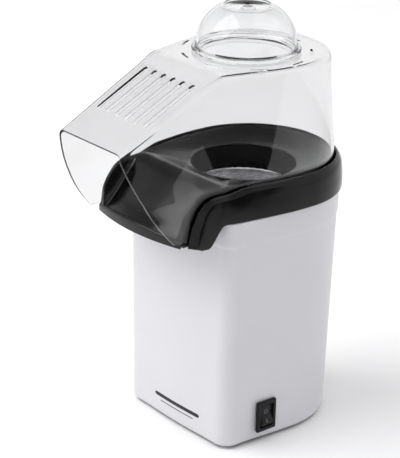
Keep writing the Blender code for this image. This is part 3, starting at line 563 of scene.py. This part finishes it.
def cover_plate():
    """Recessed bottom plate with round-ended air slots and four screw holes."""
    low, high = COVER_LOW.z, COVER_HIGH.z
    inset = HOUSING_WALL + 1.2
    section = [(inset + 0.5, low), (inset, low + 0.5), (inset, high), (inset + 0.6, high)]
    rows = [[(x, y, z) for x, y in body_outline(4, d)] for d, z in section]
    plate = skin(rows, caps=True)
    outline = rounded_box_outline(26, 1.6, 1.55, 6)
    slots = []
    for i in range(AIR_SLOTS):
        spot = Matrix.Translation((0, (i - (AIR_SLOTS - 1) / 2) * AIR_SLOT_PITCH, 0))
        slots.append(moved(prism(outline, low - 2, high + 2), spot))
    plate = boolean(plate, joined(slots))
    holes = [rod(1.9, (x, y, 0), (x, y, 9), 20) for x, y in SCREW_PLACES]
    plate = boolean(plate, joined(holes))
    place("cover_plate", plate, ABS, "base", ["bottom_cover"])


def feet():
    """Round rubber feet with a rolled edge and a shallow dimple below."""
    profile = [(0, 2.7), (6.4, 2.7)] + arc(6.2, 1.2, 0.8, 0, -60, 4)
    profile += arc(5.7, 0.7, 0.7, -20, -90, 5) + [(4.2, 0), (3.8, 0.35), (0, 0.45)]
    for i, (x, y) in enumerate(FOOT_PLACES):
        bm = moved(turned(profile, 40), Matrix.Translation((x, y, 0)))
        place(f"foot_{i + 1}", bm, RUBBER, "base", [f"rubber_foot_{i + 1}"])


def screws():
    """Pan heads with a cross recess, seated on the cover's underside."""
    profile = [(0, 1.1), (1.9, 1.1)] + arc(1.9, 2.2, 1.1, -90, 0, 5)
    profile += [(3.0, 2.7), (1.5, 2.7), (1.5, 21), (0.4, 22), (0, 22)]
    recess = rounded_box_outline(1.7, 0.32, 0.1, 2)
    for i, (x, y) in enumerate(SCREW_PLACES):
        bm = turned(profile, 32)
        for turn in (0, math.pi / 2):
            blade = moved(prism(recess, 0.5, 2.0), Matrix.Rotation(turn + 0.4 * i, 4, "Z"))
            bm = boolean(bm, blade)
        bm.transform(Matrix.Translation((x, y, 0)))
        place(f"screw_{i + 1}", bm, STEEL, "base", [f"cover_screw_{i + 1}"])


def grommet():
    """Round bush in the rear wall, where a lead would enter."""
    wall = max(p[1] for p in body_outline(LEAD_Z))
    profile = [(3.4, -5), (6.2, -5), (6.6, -4.6), (6.6, -3.4), (5, -3.4), (5, 0.6), (7, 0.6)]
    profile += arc(6.2, 2.8, 0.8, 0, 90, 4) + arc(4.2, 2.8, 0.8, 90, 180, 4)
    turn = Matrix.Rotation(-math.pi / 2, 4, "X")
    bm = moved(turned(profile, 48, True), Matrix.Translation((0, wall, LEAD_Z)) @ turn)
    place("lead_bush", bm, RUBBER, "base", ["cord_grommet"])


# ---------------------------------------------------------------- switch

# Half width, half height, corner radius and depth of each ring: the box, the bezel, the recess.
SWITCH_RINGS = (
    (6.4, 9.5, 0.5, -19.9), (6.4, 9.5, 0.5, 0), (8, 10.7, 1.1, 0), (8, 10.7, 1.1, 1.3),
    (7.85, 10.55, 1.0, 1.7), (7.5, 10.2, 0.8, 1.95), (7.1, 9.8, 0.8, 2.0), (5.75, 8.2, 0.6, 2.0),
    (5.58, 8.03, 0.6, 1.9), (5.5, 7.95, 0.6, 1.6), (5.5, 7.95, 0.6, -8),
)
ROCKER_HALF, ROCKER_SIDE = 6.9, 5.1


def switch():
    """Bezel with rounded corners and its snap-in box behind; the rocker sits in the recess."""
    x = side_x(SWITCH_Y, SWITCH_Z) + BEZEL_STAND
    rows = []
    for half_y, half_z, radius, depth in SWITCH_RINGS:
        rows.append([(px, py, depth) for px, py in rounded_box_outline(half_y, half_z, radius)])
    bm = moved(skin(rows, caps=True), Matrix.Translation((x, SWITCH_Y, SWITCH_Z)) @ FACE_SIDE)
    place("switch_bezel", bm, SWITCH_BLACK, "base", ["switch_body"], 28)


def rocker_point(px, y, pz):
    """A point of the rocker, px outwards and pz up its face, turned to its off position."""
    tilt = Matrix.Rotation(-math.radians(ROCKER_TILT), 4, "Y")
    pivot = Vector((side_x(SWITCH_Y, SWITCH_Z) - PIVOT_DEPTH, SWITCH_Y, SWITCH_Z))
    return pivot + tilt @ Vector((px, y, pz))


def face_depth(pz):
    """The rocker's face is dished: lowest on the pivot line, highest at the two ends."""
    return 2.6 + 1.4 * soft(abs(pz) - 0.6, 0.8) / 6.6


def rocker():
    """The key: a dished face and a rounded back, its two side edges eased."""
    half, side = ROCKER_HALF, ROCKER_SIDE
    outline = [(3.4, half)]
    outline += [(face_depth(z), z) for z in [half - 0.4 - 0.5 * i for i in range(26)]]
    outline += [(3.4, -half), (0, -half), (-4.6, -3.2), (-5, 0), (-4.6, 3.2), (0, half)]
    slices = ((-side, 0.35), (-side + 0.1, 0.12), (-side + 0.35, 0),
              (side - 0.35, 0), (side - 0.1, 0.12), (side, 0.35))
    rows = []
    for y, shrink in slices:
        rows.append([rocker_point(px - shrink if px > 2 else px, y, pz * (1 - shrink / 12))
                     for px, pz in outline])
    place("rocker", skin(rows, caps=True), ROCKER_BLACK, "rocker",
          ["switch_rocker"], 28)


def rocker_marks():
    """A bar and a ring that stand a hair above the rocker's face."""
    bar = [(y * 0.32, z) for y, z in rounded_box_outline(1, 1.55, 0.3, 3)]
    outer = arc(0, 0, 1.5, 0, 360, 28)[:-1]
    inner = arc(0, 0, 1.12, 0, 360, 28)[:-1]
    low, high = 0.02, 0.07
    bar_levels = [(bar, low), (bar, high)]
    ring_levels = [(outer, low), (outer, high), (inner, high), (inner, low)]
    for name, centre, levels in (("mark_on", -4.2, bar_levels), ("mark_off", 2.2, ring_levels)):
        hollow = levels is ring_levels
        rows = [[rocker_point(face_depth(centre + z) + lift, y, centre + z) for y, z in loop]
                for loop, lift in levels]
        place(name, skin(rows, loop=hollow, caps=not hollow), MARKING, "rocker")


# ---------------------------------------------------------------- collar

def tray_half(y):
    """Half the tray's width: narrow beside the chute, wide round the chamber."""
    return mix(CHUTE_HALF, TRAY_HALF, blend((y + CHUTE_START) / CHUTE_START))


def rim_height(y, level, reach=25.5):
    """Height of a rim: level, then a quarter round down to the lip over this reach."""
    if y >= RIM_DROP_Y:
        return level
    drop = min((RIM_DROP_Y - y) / reach, 1.0)
    return LIP_Z + (level - LIP_Z) * math.sqrt(max(1 - drop ** 2.2, 0.0))


def collar_section(y, along_side):
    """(offset, height) round the collar's wall at one station: outer wall, rim, groove, flange."""
    wing = blend((-y - 50) / 30) if along_side else 0.0
    top = rim_height(y, COLLAR_RIM, WING_REACH)
    bottom = COLLAR_BOTTOM
    if along_side:
        # The rim dips beside the chute. The bottom runs down into the wing and lifts at its tip.
        top = max(top - 3 * blend((-y - 35) / 20), LIP_Z + 0.6)
        ramp = min(max((-y - 57.3) / 11, 0.0), 1.0)
        bottom = mix(COLLAR_BOTTOM, WING_BOTTOM, mix(ramp, blend(ramp), 0.45))
        bottom += 2.4 * blend((-y - 75) / 8)
    bottom = min(bottom, top - 1.2)
    floor = min(mix(GROOVE_Z, bottom + 1.5, wing), top - 1.5)
    depth = min(1.0, (top - bottom) / 20)
    reach = mix(10, 5.6, blend((-y - 44) / 10)) if along_side else 10
    outer = [(-0.5, bottom + 0.15 * depth), (-0.12, bottom + 1.2 * depth)]
    outer += [(-0.08, mix(bottom, top, 0.35)), (-0.7, top - 7 * depth), (-1.5, top - 3.6 * depth)]
    outer += [(-2.3, top - 2.1 * depth), (-3.3, top - 0.5 * depth), (-4.2, top)]
    outer += [(-4.9, top - 0.5 * depth), (-5.15, top - 1.6 * depth)]
    line = [(-0.9, bottom)] + flowing(outer, 4)
    line += [(-5.2, mix(top - 1.6 * depth, floor, 0.5)), (-5.25, floor + 0.3 * depth)]
    line.append((-5.5, floor))
    flange = max(min(floor - 1.5, bottom + 1.2), bottom)
    line += [(-reach - 0.2, floor), (-reach - 0.2, max(floor - 1.4, bottom))]
    return line + [(-3.6, flange), (-2.9, bottom)]


def collar():
    """The band round the housing's top, open in front, with a wing down each side of the chute."""
    ys = [-81.6, -81.5, -81.35, -81.15, -80.9, -80.5, -80.0, -79.5, -79.0, -78.4, -77.6]
    ys += [-76.5 + 1.25 * i for i in range(30)] + [-38 + 3 * i for i in range(14)] + [4, 7]
    path = [(tray_half(y) + COLLAR_OFFSET, y, 1.0, 0.0, True) for y in ys]
    radius = TRAY_HALF + COLLAR_OFFSET
    for i in range(41):
        a = math.pi / 2 * i / 40
        c, s = math.cos(a), math.sin(a)
        path.append((radius * c, REAR_CENTRE + radius * s, c, s, False))
    path += [(-x, y, -nx, ny, side) for x, y, nx, ny, side in reversed(path[:-1])]
    rows = []
    for x, y, nx, ny, side in path:
        back = WING_TIP_SETBACK * blend((-y - 68) / 14)
        row = []
        for d, z in collar_section(y, side):
            outer_share = 1 + max(d, -COLLAR_RIM_DEPTH) / COLLAR_RIM_DEPTH
            row.append((x + nx * d, y + ny * d + back * outer_share, z))
        rows.append(row)
    place("collar_band", skin(rows, caps=True), BLACK_BAND, "base", ["collar"], 40)


# ---------------------------------------------------------------- chute tray

# Turns of the chute's middle line: distance in front of the ridge, change of slope, roundness.
CHUTE_TURNS = ((0.0, -0.66, 1.7), (7.0, -0.76, 2.6), (27.4, 0.52, 1.6))
LAST_ROW = 0.965
CHUTE_ROWS = (0.0, 0.02, 0.04, 0.065, 0.09, 0.12, 0.15, 0.18, 0.21, 0.24, 0.28, 0.33, 0.39, 0.45,
              0.51, 0.57, 0.63, 0.68, 0.71, 0.735, 0.76, 0.79, 0.83, 0.87, 0.91, 0.94, LAST_ROW)
FLAT_POINTS, FILLET_POINTS = 17, 9
RIDGE_REACH = 32
DISH_RINGS = 14


def lip_front(x):
    """The pouring lip is bowed: furthest forward in the middle."""
    return LIP_SIDE_Y - LIP_BOW * (1 - (x / CHUTE_HALF) ** 2)


def chute_line(forward):
    """Height along the chute's middle: the ridge's crest, its shoulder, a long plane, a flatter end."""
    z = RIDGE_Z + 0.35 * forward
    for at, change, width in CHUTE_TURNS:
        z += change * soft(forward - at, width)
    return z


def chute_floor(x, v):
    """Floor height at a share v of the way from the ridge to the lip."""
    middle = chute_line(v * (RIDGE_Y - lip_front(0)))
    return middle - 3.0 * blend((v - 0.74) / 0.26) * (x / CHUTE_HALF) ** 2


def wall_start(y):
    """Angle on the rim's bead where the inner surface meets it: a smooth run in, or a wall."""
    return math.radians(mix(55, 0, blend((RIDGE_Y - y) / 14)))


def bead(y, top, low):
    """(distance in from the outer face, height) over the rim's bead and down the outer skirt."""
    start = wall_start(y)
    line = []
    for i in range(9):
        a = mix(start, math.pi, i / 8)
        line.append((BEAD + BEAD * math.cos(a), top - BEAD + BEAD * math.sin(a)))
    base = top - BEAD
    return line + [(0.0, mix(base, low, t)) for t in (0.3, 0.65, 1.0)]


def skirt_low(y, top):
    """Lower edge of the tray's outer skirt, down in the collar's groove."""
    low = mix(GROOVE_Z + 1, LIP_Z - 0.9, blend((RIDGE_Y - y) / 12))
    return min(low, top - 2 * BEAD)


def chute_row(v):
    """One row across the chute from the middle to the right outer skirt."""
    row = []
    side_y = mix(RIDGE_Y, LIP_SIDE_Y, v)
    top = rim_height(side_y, RIM_Z)
    section = bead(side_y, top, skirt_low(side_y, top))
    fillet = mix(5.5, 3.6, blend(v * 2))
    inner = tray_half(side_y) - section[0][0]
    for i in range(FLAT_POINTS):
        x = (inner - fillet) * i / (FLAT_POINTS - 1)
        row.append((x, mix(RIDGE_Y, lip_front(x), v), chute_floor(x, v)))
    for i in range(1, FILLET_POINTS + 1):
        s = i / (FILLET_POINTS + 1)
        x = inner - fillet * (1 - s)
        floor = chute_floor(x, v)
        z = floor + (section[0][1] - floor) * (1 - math.sqrt(1 - s * s))
        row.append((x, mix(RIDGE_Y, lip_front(x), v), z))
    for d, z in section:
        x = tray_half(side_y) - d
        row.append((x, mix(RIDGE_Y, lip_front(min(x, CHUTE_HALF)), v), z))
    return row


def lip_rows(last):
    """The rolled pouring lip in front of the chute's last row."""
    rows = []
    roll, bottom = 1.3, LIP_Z - 1.0
    for forward, up, wall in ((0.35, 0.5, 10.5), (0.8, 0.9, 7), (1.3, 0.95, 2.5)):
        row = []
        for x, y, z in last:
            floor = chute_floor(min(x, CHUTE_HALF - 2), LAST_ROW)
            row.append((x, y - forward, min(z + up, max(LIP_Z + wall, floor + up))))
        rows.append(row)
    base = rows[-1]
    for a in (math.radians(30), math.radians(60), math.radians(90)):
        drop = roll * (1 - math.cos(a))
        rows.append([(x, y - roll * math.sin(a), max(z - drop, bottom)) for x, y, z in base])
    for t in (0.5, 1.0):
        rows.append([(x, y, mix(z, bottom, t)) for x, y, z in rows[-1]])
    return rows


def chute_part():
    """The chute with its side walls and the lip, from the ridge forwards."""
    rows = [chute_row(v) for v in CHUTE_ROWS]
    rows += lip_rows(rows[-1])
    full = []
    for row in rows:
        full.append([(-x, y, z) for x, y, z in reversed(row[1:])] + row)
    return skin(full, around=False)


def outline_stations():
    """Points and outward directions on the tray's outer face, from ridge end to ridge end."""
    places = [(tray_half(y), y, 1.0, 0.0) for y in [RIDGE_Y + 1.55 * i for i in range(40)]]
    for i in range(45):
        a = math.pi / 2 * i / 44
        c, s = math.cos(a), math.sin(a)
        places.append((TRAY_HALF * c, REAR_CENTRE + TRAY_HALF * s, c, s))
    return places + [(-x, y, -nx, ny) for x, y, nx, ny in reversed(places[:-1])]


def rim_part():
    """The rim's bead and outer skirt, from one end of the ridge round the rear to the other."""
    rows = []
    for x, y, nx, ny in outline_stations():
        low = skirt_low(y, RIM_Z)
        rows.append([(x - nx * d, y - ny * d, z) for d, z in bead(y, RIM_Z, low)])
    return skin(rows, around=False)


def dish_part():
    """Skirt, hole edge and dish, as rings that run out to the rim and the ridge."""
    start = bead(RIDGE_Y, RIM_Z, skirt_low(RIDGE_Y, RIM_Z))[0]
    ends = []
    for x, y, nx, ny in outline_stations():
        ridge = blend(1 - (y - RIDGE_Y) / RIDGE_REACH)
        ends.append((x - nx * start[0], y - ny * start[0], start[1], ridge))
    right = chute_row(0.0)[:FLAT_POINTS + FILLET_POINTS + 1]
    front = [(-x, y, z) for x, y, z in reversed(right[1:-1])] + right[:-1]
    ends += [(x, y, z, 1.0) for x, y, z in front]
    edge = [(HOLE_R - 0.6, SKIRT_Z), (HOLE_R - 0.3, mix(SKIRT_Z, HOLE_Z, 0.5))]
    edge.append((HOLE_R - 0.1, HOLE_Z - 1.4))
    edge += [(HOLE_R + 0.8 - HOLE_EDGE_R * math.cos(a), HOLE_Z - HOLE_EDGE_R + HOLE_EDGE_R * math.sin(a))
             for a in (math.radians(15 * i) for i in range(7))]
    rows = [[] for _ in range(len(edge) + DISH_RINGS)]
    for x, y, z, ridge in ends:
        away = Vector((x, y)).normalized()
        for row, (r, height) in zip(rows, edge):
            row.append((away.x * r, away.y * r, height))
        inner = away * edge[-1][0]
        fall = chute_line(RIDGE_Y - inner.y) - HOLE_Z
        for k in range(DISH_RINGS):
            t = (k + 1) / DISH_RINGS
            behind = mix(inner.y, y, t) - RIDGE_Y
            crest = chute_line(-behind) - fall * (1 - t) + (z - chute_line(RIDGE_Y - y)) * t
            height = mix(mix(HOLE_Z, z, mix(t, t ** 1.6, 0.7)), crest, ridge)
            rows[len(edge) + k].append((mix(inner.x, x, t), mix(inner.y, y, t), height))
    return skin(rows)


def tray():
    """Chute, rim and dish as one moulding with a wall."""
    bm = joined([chute_part(), rim_part(), dish_part()])
    bmesh.ops.remove_doubles(bm, verts=bm.verts, dist=0.02)
    bm = thickened(bm, TRAY_WALL, even=False)
    place("tray_and_chute", bm, BLACK, "base", ["chute_tray"], 50)


# ---------------------------------------------------------------- hood

def roof_height(y):
    """Level top plate, then a slope down to the free edge, with a soft crease between."""
    drop = soft(CREASE_Y - y, CREASE_SOFT)
    drop_left_on_the_plate = soft(-60, CREASE_SOFT)
    return HOOD_TOP - ROOF_SLOPE * drop + ROOF_SLOPE * drop_left_on_the_plate


def hood_half(y):
    """Half the hood's width below the knee."""
    return tray_half(y) + HOOD_STAND - 0.25 * max(0.0, -92 - y)


def roof_half(y):
    """Half the roof's width, which narrows towards the free edge."""
    width = mix(34, ROOF_HALF, blend((y + 70) / (70 + ROOF_CENTRE)))
    return width - 0.05 * max(0.0, -70 - y)


def hood_stations():
    """Bottom, knee and roof points for each station from the free edge to the middle of the rear."""
    stations = []
    for i in range(57):
        f = i / 56
        y = mix(FREE_EDGE_LOW_Y, REAR_CENTRE, f)
        z = mix(HOOD_SEAT_Z, HOOD_LOW.z + 0.1, blend((-y - 58) / 24))
        low = Vector((hood_half(y), y, z))
        y = mix(FREE_EDGE_KNEE_Y, REAR_CENTRE, f)
        knee = Vector((hood_half(y), y, HOOD_KNEE_Z))
        y = mix(FREE_EDGE_ROOF_Y, ROOF_CENTRE, f)
        stations.append((low, knee, Vector((roof_half(y), y, roof_height(y)))))
    radius = TRAY_HALF + HOOD_STAND
    for i in range(1, 41):
        a = math.pi / 2 * i / 40
        c, s = math.cos(a), math.sin(a)
        x, y = radius * c, REAR_CENTRE + radius * s
        roof = Vector((ROOF_HALF * c, ROOF_CENTRE + ROOF_HALF * s, HOOD_TOP))
        stations.append((Vector((x, y, HOOD_SEAT_Z)), Vector((x, y, HOOD_KNEE_Z)), roof))
    return stations


def hood_row(low, knee, top, inward):
    """Points up the side wall, round the roof's edge and across to the middle."""
    wall_top = top - Vector((0, 0, ROOF_CORNER))
    row = []
    for a, b, steps in ((low, knee, 5), (knee, wall_top, 12)):
        for i in range(steps):
            t = i / steps
            p = a.lerp(b, t)
            p.y += (b.y - a.y) * 0.35 * t * (1 - t)
            row.append(p)
    for i in range(9):
        a = math.pi / 2 * i / 8
        rise = Vector((0, 0, ROOF_CORNER * math.sin(a)))
        row.append(wall_top + rise + inward * ROOF_CORNER * (1 - math.cos(a)))
    last = row[-1]
    row += [Vector((last.x * (1 - i / 8), last.y, last.z)) for i in range(1, 9)]
    return row + [Vector((-p.x, p.y, p.z)) for p in reversed(row[:-1])]


def slot_tools():
    """Round-ended slots down the sloped roof."""
    turn = Matrix.Rotation(math.atan2(HOOD_TOP - CREASE_Z, CREASE_Y - FREE_EDGE_ROOF_Y), 4, "X")
    outline = rounded_box_outline(1.5, 21.5, 1.45, 6)
    tools = []
    for i in range(SLOTS):
        centre = Vector(((i - (SLOTS - 1) / 2) * SLOT_PITCH, SLOT_Y, roof_height(SLOT_Y)))
        tools.append(moved(prism(outline, -5, 5), Matrix.Translation(centre) @ turn))
    return tools


def vent_tools():
    """Narrow curved vents round the edge of the top plate."""
    tools = []
    for i in range(VENTS):
        middle = 40 * i + 10
        start, end = middle - VENT_HALF_ANGLE, middle + VENT_HALF_ANGLE
        inner, outer = (arc(0, 0, radius, start, end, 8) for radius in (VENT_R_IN, VENT_R_OUT))
        tools.append(prism(outer + list(reversed(inner)), HOOD_TOP - 5, HOOD_TOP + 3))
    return tools


def hood():
    """Clear shell, open below and in front, with a hole for the cup, slots and vents."""
    stations = hood_stations()
    last = len(stations) - 1
    rows = []
    for j, (low, knee, top) in enumerate(stations):
        before, after = stations[max(j - 1, 0)][2], stations[min(j + 1, last)][2]
        tangent = Vector((after.x - before.x, after.y - before.y, 0)).normalized()
        square = Vector((-tangent.y, tangent.x, 0))
        inward = Vector((-1, 0, 0)).lerp(square, blend(j / 16)).normalized()
        if j == last:
            inward = Vector((0, -1, 0))
        rows.append(hood_row(low, knee, top, inward))
    bm = skin(rows, around=False)
    bmesh.ops.remove_doubles(bm, verts=bm.verts, dist=0.01)
    bm = thickened(bm, HOOD_WALL)
    bm = boolean(bm, rod(CUP_HOLE_R, (0, 0, 240), (0, 0, 260), 96))
    bm = boolean(bm, joined(slot_tools()))
    bm = boolean(bm, joined(vent_tools()))
    place("clear_hood_shell", bm, CLEAR, "hood", ["hood"], 30)


# ---------------------------------------------------------------- measuring cup

def dome(z, shrink=0.0):
    """Radius of the dome's outer face, or of one that lies deeper by shrink, at a height."""
    share = (z - DOME_BASE_Z) / (DOME_RISE - shrink)
    return (DOME_R - shrink) * math.sqrt(max(1 - share ** 2, 0.0))


def cup():
    """Dome with a flat disc on top, a resting flange and a short spigot in the hood's hole."""
    top, rim, base, wall = CUP_HIGH.z, CUP_HIGH.x, DOME_BASE_Z, DOME_WALL
    disc = dome(top)
    profile = [(0, top - 0.5), (0.8, top - 0.45), (1.2, top - 0.25), (disc - 1.5, top - 0.25)]
    profile += [(disc - 1.1, top), (disc - 0.4, top), (disc + 0.2, top - 0.25)]
    profile += [(dome(z), z) for z in [mix(top - 0.9, base, (i / 22) ** 1.25) for i in range(1, 23)]]
    profile += [(DOME_R + 0.5, 252.9), (rim - 0.5, 252.6), (rim, 252.1), (rim, 251.1)]
    profile += [(rim - 0.5, 250.6), (30.1, 250.6), (29.6, 250.1), (29.6, 246.9), (29.3, 246.5)]
    profile += [(28.9, 246.5), (28.6, 246.9), (28.9, 251)]
    inner_top = top - wall - 0.8
    profile += [(dome(z, wall), z) for z in [mix(base, inner_top, (i / 20) ** 0.8) for i in range(21)]]
    profile += [(dome(top - wall, wall) - 0.5, top - wall - 0.1), (0, top - wall - 0.1)]
    place("cup_dome", turned(profile, 96), CLEAR_CUP, "cup", ["measuring_cup"], 30)


# ---------------------------------------------------------------- popping chamber

def chamber():
    """Spun aluminium bowl with a flange and slanted air louvres."""
    rim, bottom, r, wall = BOWL_HIGH.z, BOWL_BOTTOM_Z, BOWL_R, BOWL_WALL
    profile = [(r + 6, rim - 0.2), (r + 5.8, rim - wall), (r + 0.8, rim - wall)]
    profile.append((r, rim - wall - 0.8))
    profile += [(r - 0.3, 140), (r - 0.6, bottom + 6)] + arc(r - 4.6, bottom + 4, 4, 0, -90, 6)
    profile += [(15, bottom - 0.6), (0, bottom - 1)]
    profile += [(0, bottom - 0.2), (15, bottom + 0.2)] + arc(r - 4.8, bottom + 4.6, 3.6, -90, 0, 6)
    profile += [(r - 1.1, 140), (r - 0.8, rim - 1.2), (r - 0.3, rim - 0.2)]
    profile += [(r + 0.4, rim), (r + 5.7, rim)]
    outline = rounded_box_outline(5.5, 0.8, 0.7, 4)
    louvres = []
    for i in range(LOUVRES):
        turn = Matrix.Rotation(2 * math.pi * i / LOUVRES, 4, "Z")
        turn = turn @ Matrix.Translation((r - 1, 0, LOUVRE_Z))
        turn = turn @ Matrix.Rotation(math.radians(35), 4, "X") @ Matrix.Rotation(math.pi / 2, 4, "Y")
        louvres.append(moved(prism(outline, -3, 3), turn))
    bm = boolean(turned(profile, 96), joined(louvres))
    place("chamber_bowl", bm, ALUMINIUM, "base", ["popping_chamber"], 35)


# ---------------------------------------------------------------- inner parts, in their CAD shapes

INNER = {
    "air_sleeve": GALVANISED, "chamber_gasket": SILICONE, "mica_board_a": MICA, "mica_board_b": MICA,
    "heating_coil": WIRE, "fan_housing": NYLON, "fan_impeller": NYLON, "motor_bracket": GALVANISED,
    "motor_screw_1": STEEL, "motor_screw_2": STEEL, "motor_can": GALVANISED, "motor_end_cap": ABS,
    "motor_magnet_left": FERRITE, "motor_magnet_right": FERRITE, "motor_shaft": STEEL,
    "motor_armature": COPPER, "rectifier_board": BOARD, "thermostat": BAKELITE, "thermal_fuse": BRASS,
    "terminal_block": TERMINAL, "switch_lead": BROWN, "heater_lead": CREAM, "motor_lead": RED,
    "switch_terminal_lower": BRASS, "switch_terminal_upper": BRASS,
}


def inner_parts():
    """Give each CAD part that is kept its material."""
    finishes = dict(INNER)
    finishes.update({f"rectifier_diode_{i}": ABS for i in range(1, 5)})
    for node, mat in finishes.items():
        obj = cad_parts[node]
        obj.data.materials.clear()
        obj.data.materials.append(mat)


# ---------------------------------------------------------------- studio

CAMERA_AZIMUTH = math.radians(50.30)
CAMERA_ELEVATION = math.radians(22.05)
CAMERA_ROLL = math.radians(1.13)
CAMERA_DISTANCE = 1216.6
AIM_SIDE, AIM_HEIGHT = -27.16, 126.69
LENS, SENSOR_WIDTH = 144.9, 36

FLOOR_HALF = 8
FLAG_RIGHT, FLAG_AWAY = Vector((0.639, 0.769, 0)), Vector((-0.769, 0.639, 0))
FLAG_DISTANCE = 0.42
FLAG_CORNERS = ((-0.6, 0.0), (-0.34, 0.0), (-0.25, 0.12), (-0.2, 0.34), (-0.6, 0.34))

HORIZON = (0.48, (1.0, 1.0, 1.005, 1))
CEILING = (0.62, (0.4, 0.4, 0.404, 1))


def camera():
    """The view from the front right, 22 degrees above level, with a slight roll."""
    a, e, r = CAMERA_AZIMUTH, CAMERA_ELEVATION, CAMERA_ROLL
    back = Vector((math.sin(a) * math.cos(e), -math.cos(a) * math.cos(e), math.sin(e)))
    right = Vector((math.cos(a), math.sin(a), 0))
    up = back.cross(right)
    across = right * math.cos(r) + up * math.sin(r)
    upright = up * math.cos(r) - right * math.sin(r)
    spot = right * AIM_SIDE + Vector((0, 0, AIM_HEIGHT)) + back * CAMERA_DISTANCE
    data = bpy.data.cameras.new("camera")
    data.lens = LENS
    data.sensor_width = SENSOR_WIDTH
    data.clip_start, data.clip_end = 0.05, 50
    obj = bpy.data.objects.new("camera", data)
    turn = Matrix((across, upright, back)).transposed().to_4x4()
    obj.matrix_world = Matrix.Translation(TO_MODEL @ spot) @ turn
    bpy.context.scene.collection.objects.link(obj)
    bpy.context.scene.camera = obj


def paper_floor():
    """A wide sheet of near-white paper."""
    bm = bmesh.new()
    bmesh.ops.create_grid(bm, x_segments=2, y_segments=2, size=FLOOR_HALF)
    f = Finish("floor_paper", (0.93, 0.93, 0.935), 0.6)
    f.roughened(f.noise(5, 2), 0.55, 0.65)
    obj = new_object("floor", bm)
    obj.data.materials.append(f.mat)


def flag():
    """A dark card beside the set, out of view: the hood's wall and the collar mirror it."""
    bm = bmesh.new()
    spots = [FLAG_RIGHT * FLAG_DISTANCE + FLAG_AWAY * d + Vector((0, 0, z)) for d, z in FLAG_CORNERS]
    bm.faces.new([bm.verts.new(spot) for spot in spots])
    f = Finish("flag_cloth", (0.012, 0.012, 0.012), 0.9)
    f.bumped(f.noise(900, 2), 0.3)
    obj = new_object("flag", bm)
    obj.data.materials.append(f.mat)


def area_light(name, spot, aim, size, power):
    """A square lamp at a spot, turned towards its aim."""
    data = bpy.data.lights.new(name, "AREA")
    data.shape = "SQUARE"
    data.size = size
    data.energy = power
    obj = bpy.data.objects.new(name, data)
    obj.location = spot
    obj.rotation_euler = (Vector(aim) - Vector(spot)).to_track_quat("-Z", "Y").to_euler()
    bpy.context.scene.collection.objects.link(obj)


def studio():
    """A world that is white at the horizon and grey overhead, and two lamps."""
    scene = bpy.context.scene
    scene.view_settings.view_transform = "Standard"
    scene.world = bpy.data.worlds.new("studio")
    scene.world.use_nodes = True
    tree = scene.world.node_tree
    background = tree.nodes["Background"]
    background.inputs["Strength"].default_value = 1.0
    direction = tree.nodes.new("ShaderNodeTexCoord")
    split = tree.nodes.new("ShaderNodeSeparateXYZ")
    ramp = tree.nodes.new("ShaderNodeValToRGB")
    for element, (position, colour) in zip(ramp.color_ramp.elements, (HORIZON, CEILING)):
        element.position = position
        element.color = colour
    tree.links.new(direction.outputs["Generated"], split.inputs[0])
    tree.links.new(split.outputs["Z"], ramp.inputs[0])
    tree.links.new(ramp.outputs[0], background.inputs["Color"])
    area_light("overhead", (-0.9, -1.5, 2.3), (-0.1, 0, 0), 2.2, 61)
    area_light("fill", (0.8, 1.1, 2.2), (0, 0.1, 0), 2.0, 16)


camera()
paper_floor()
flag()
studio()
housing()
front_mark()
cover_plate()
feet()
screws()
grommet()
switch()
rocker()
rocker_marks()
collar()
tray()
hood()
cup()
chamber()
inner_parts()
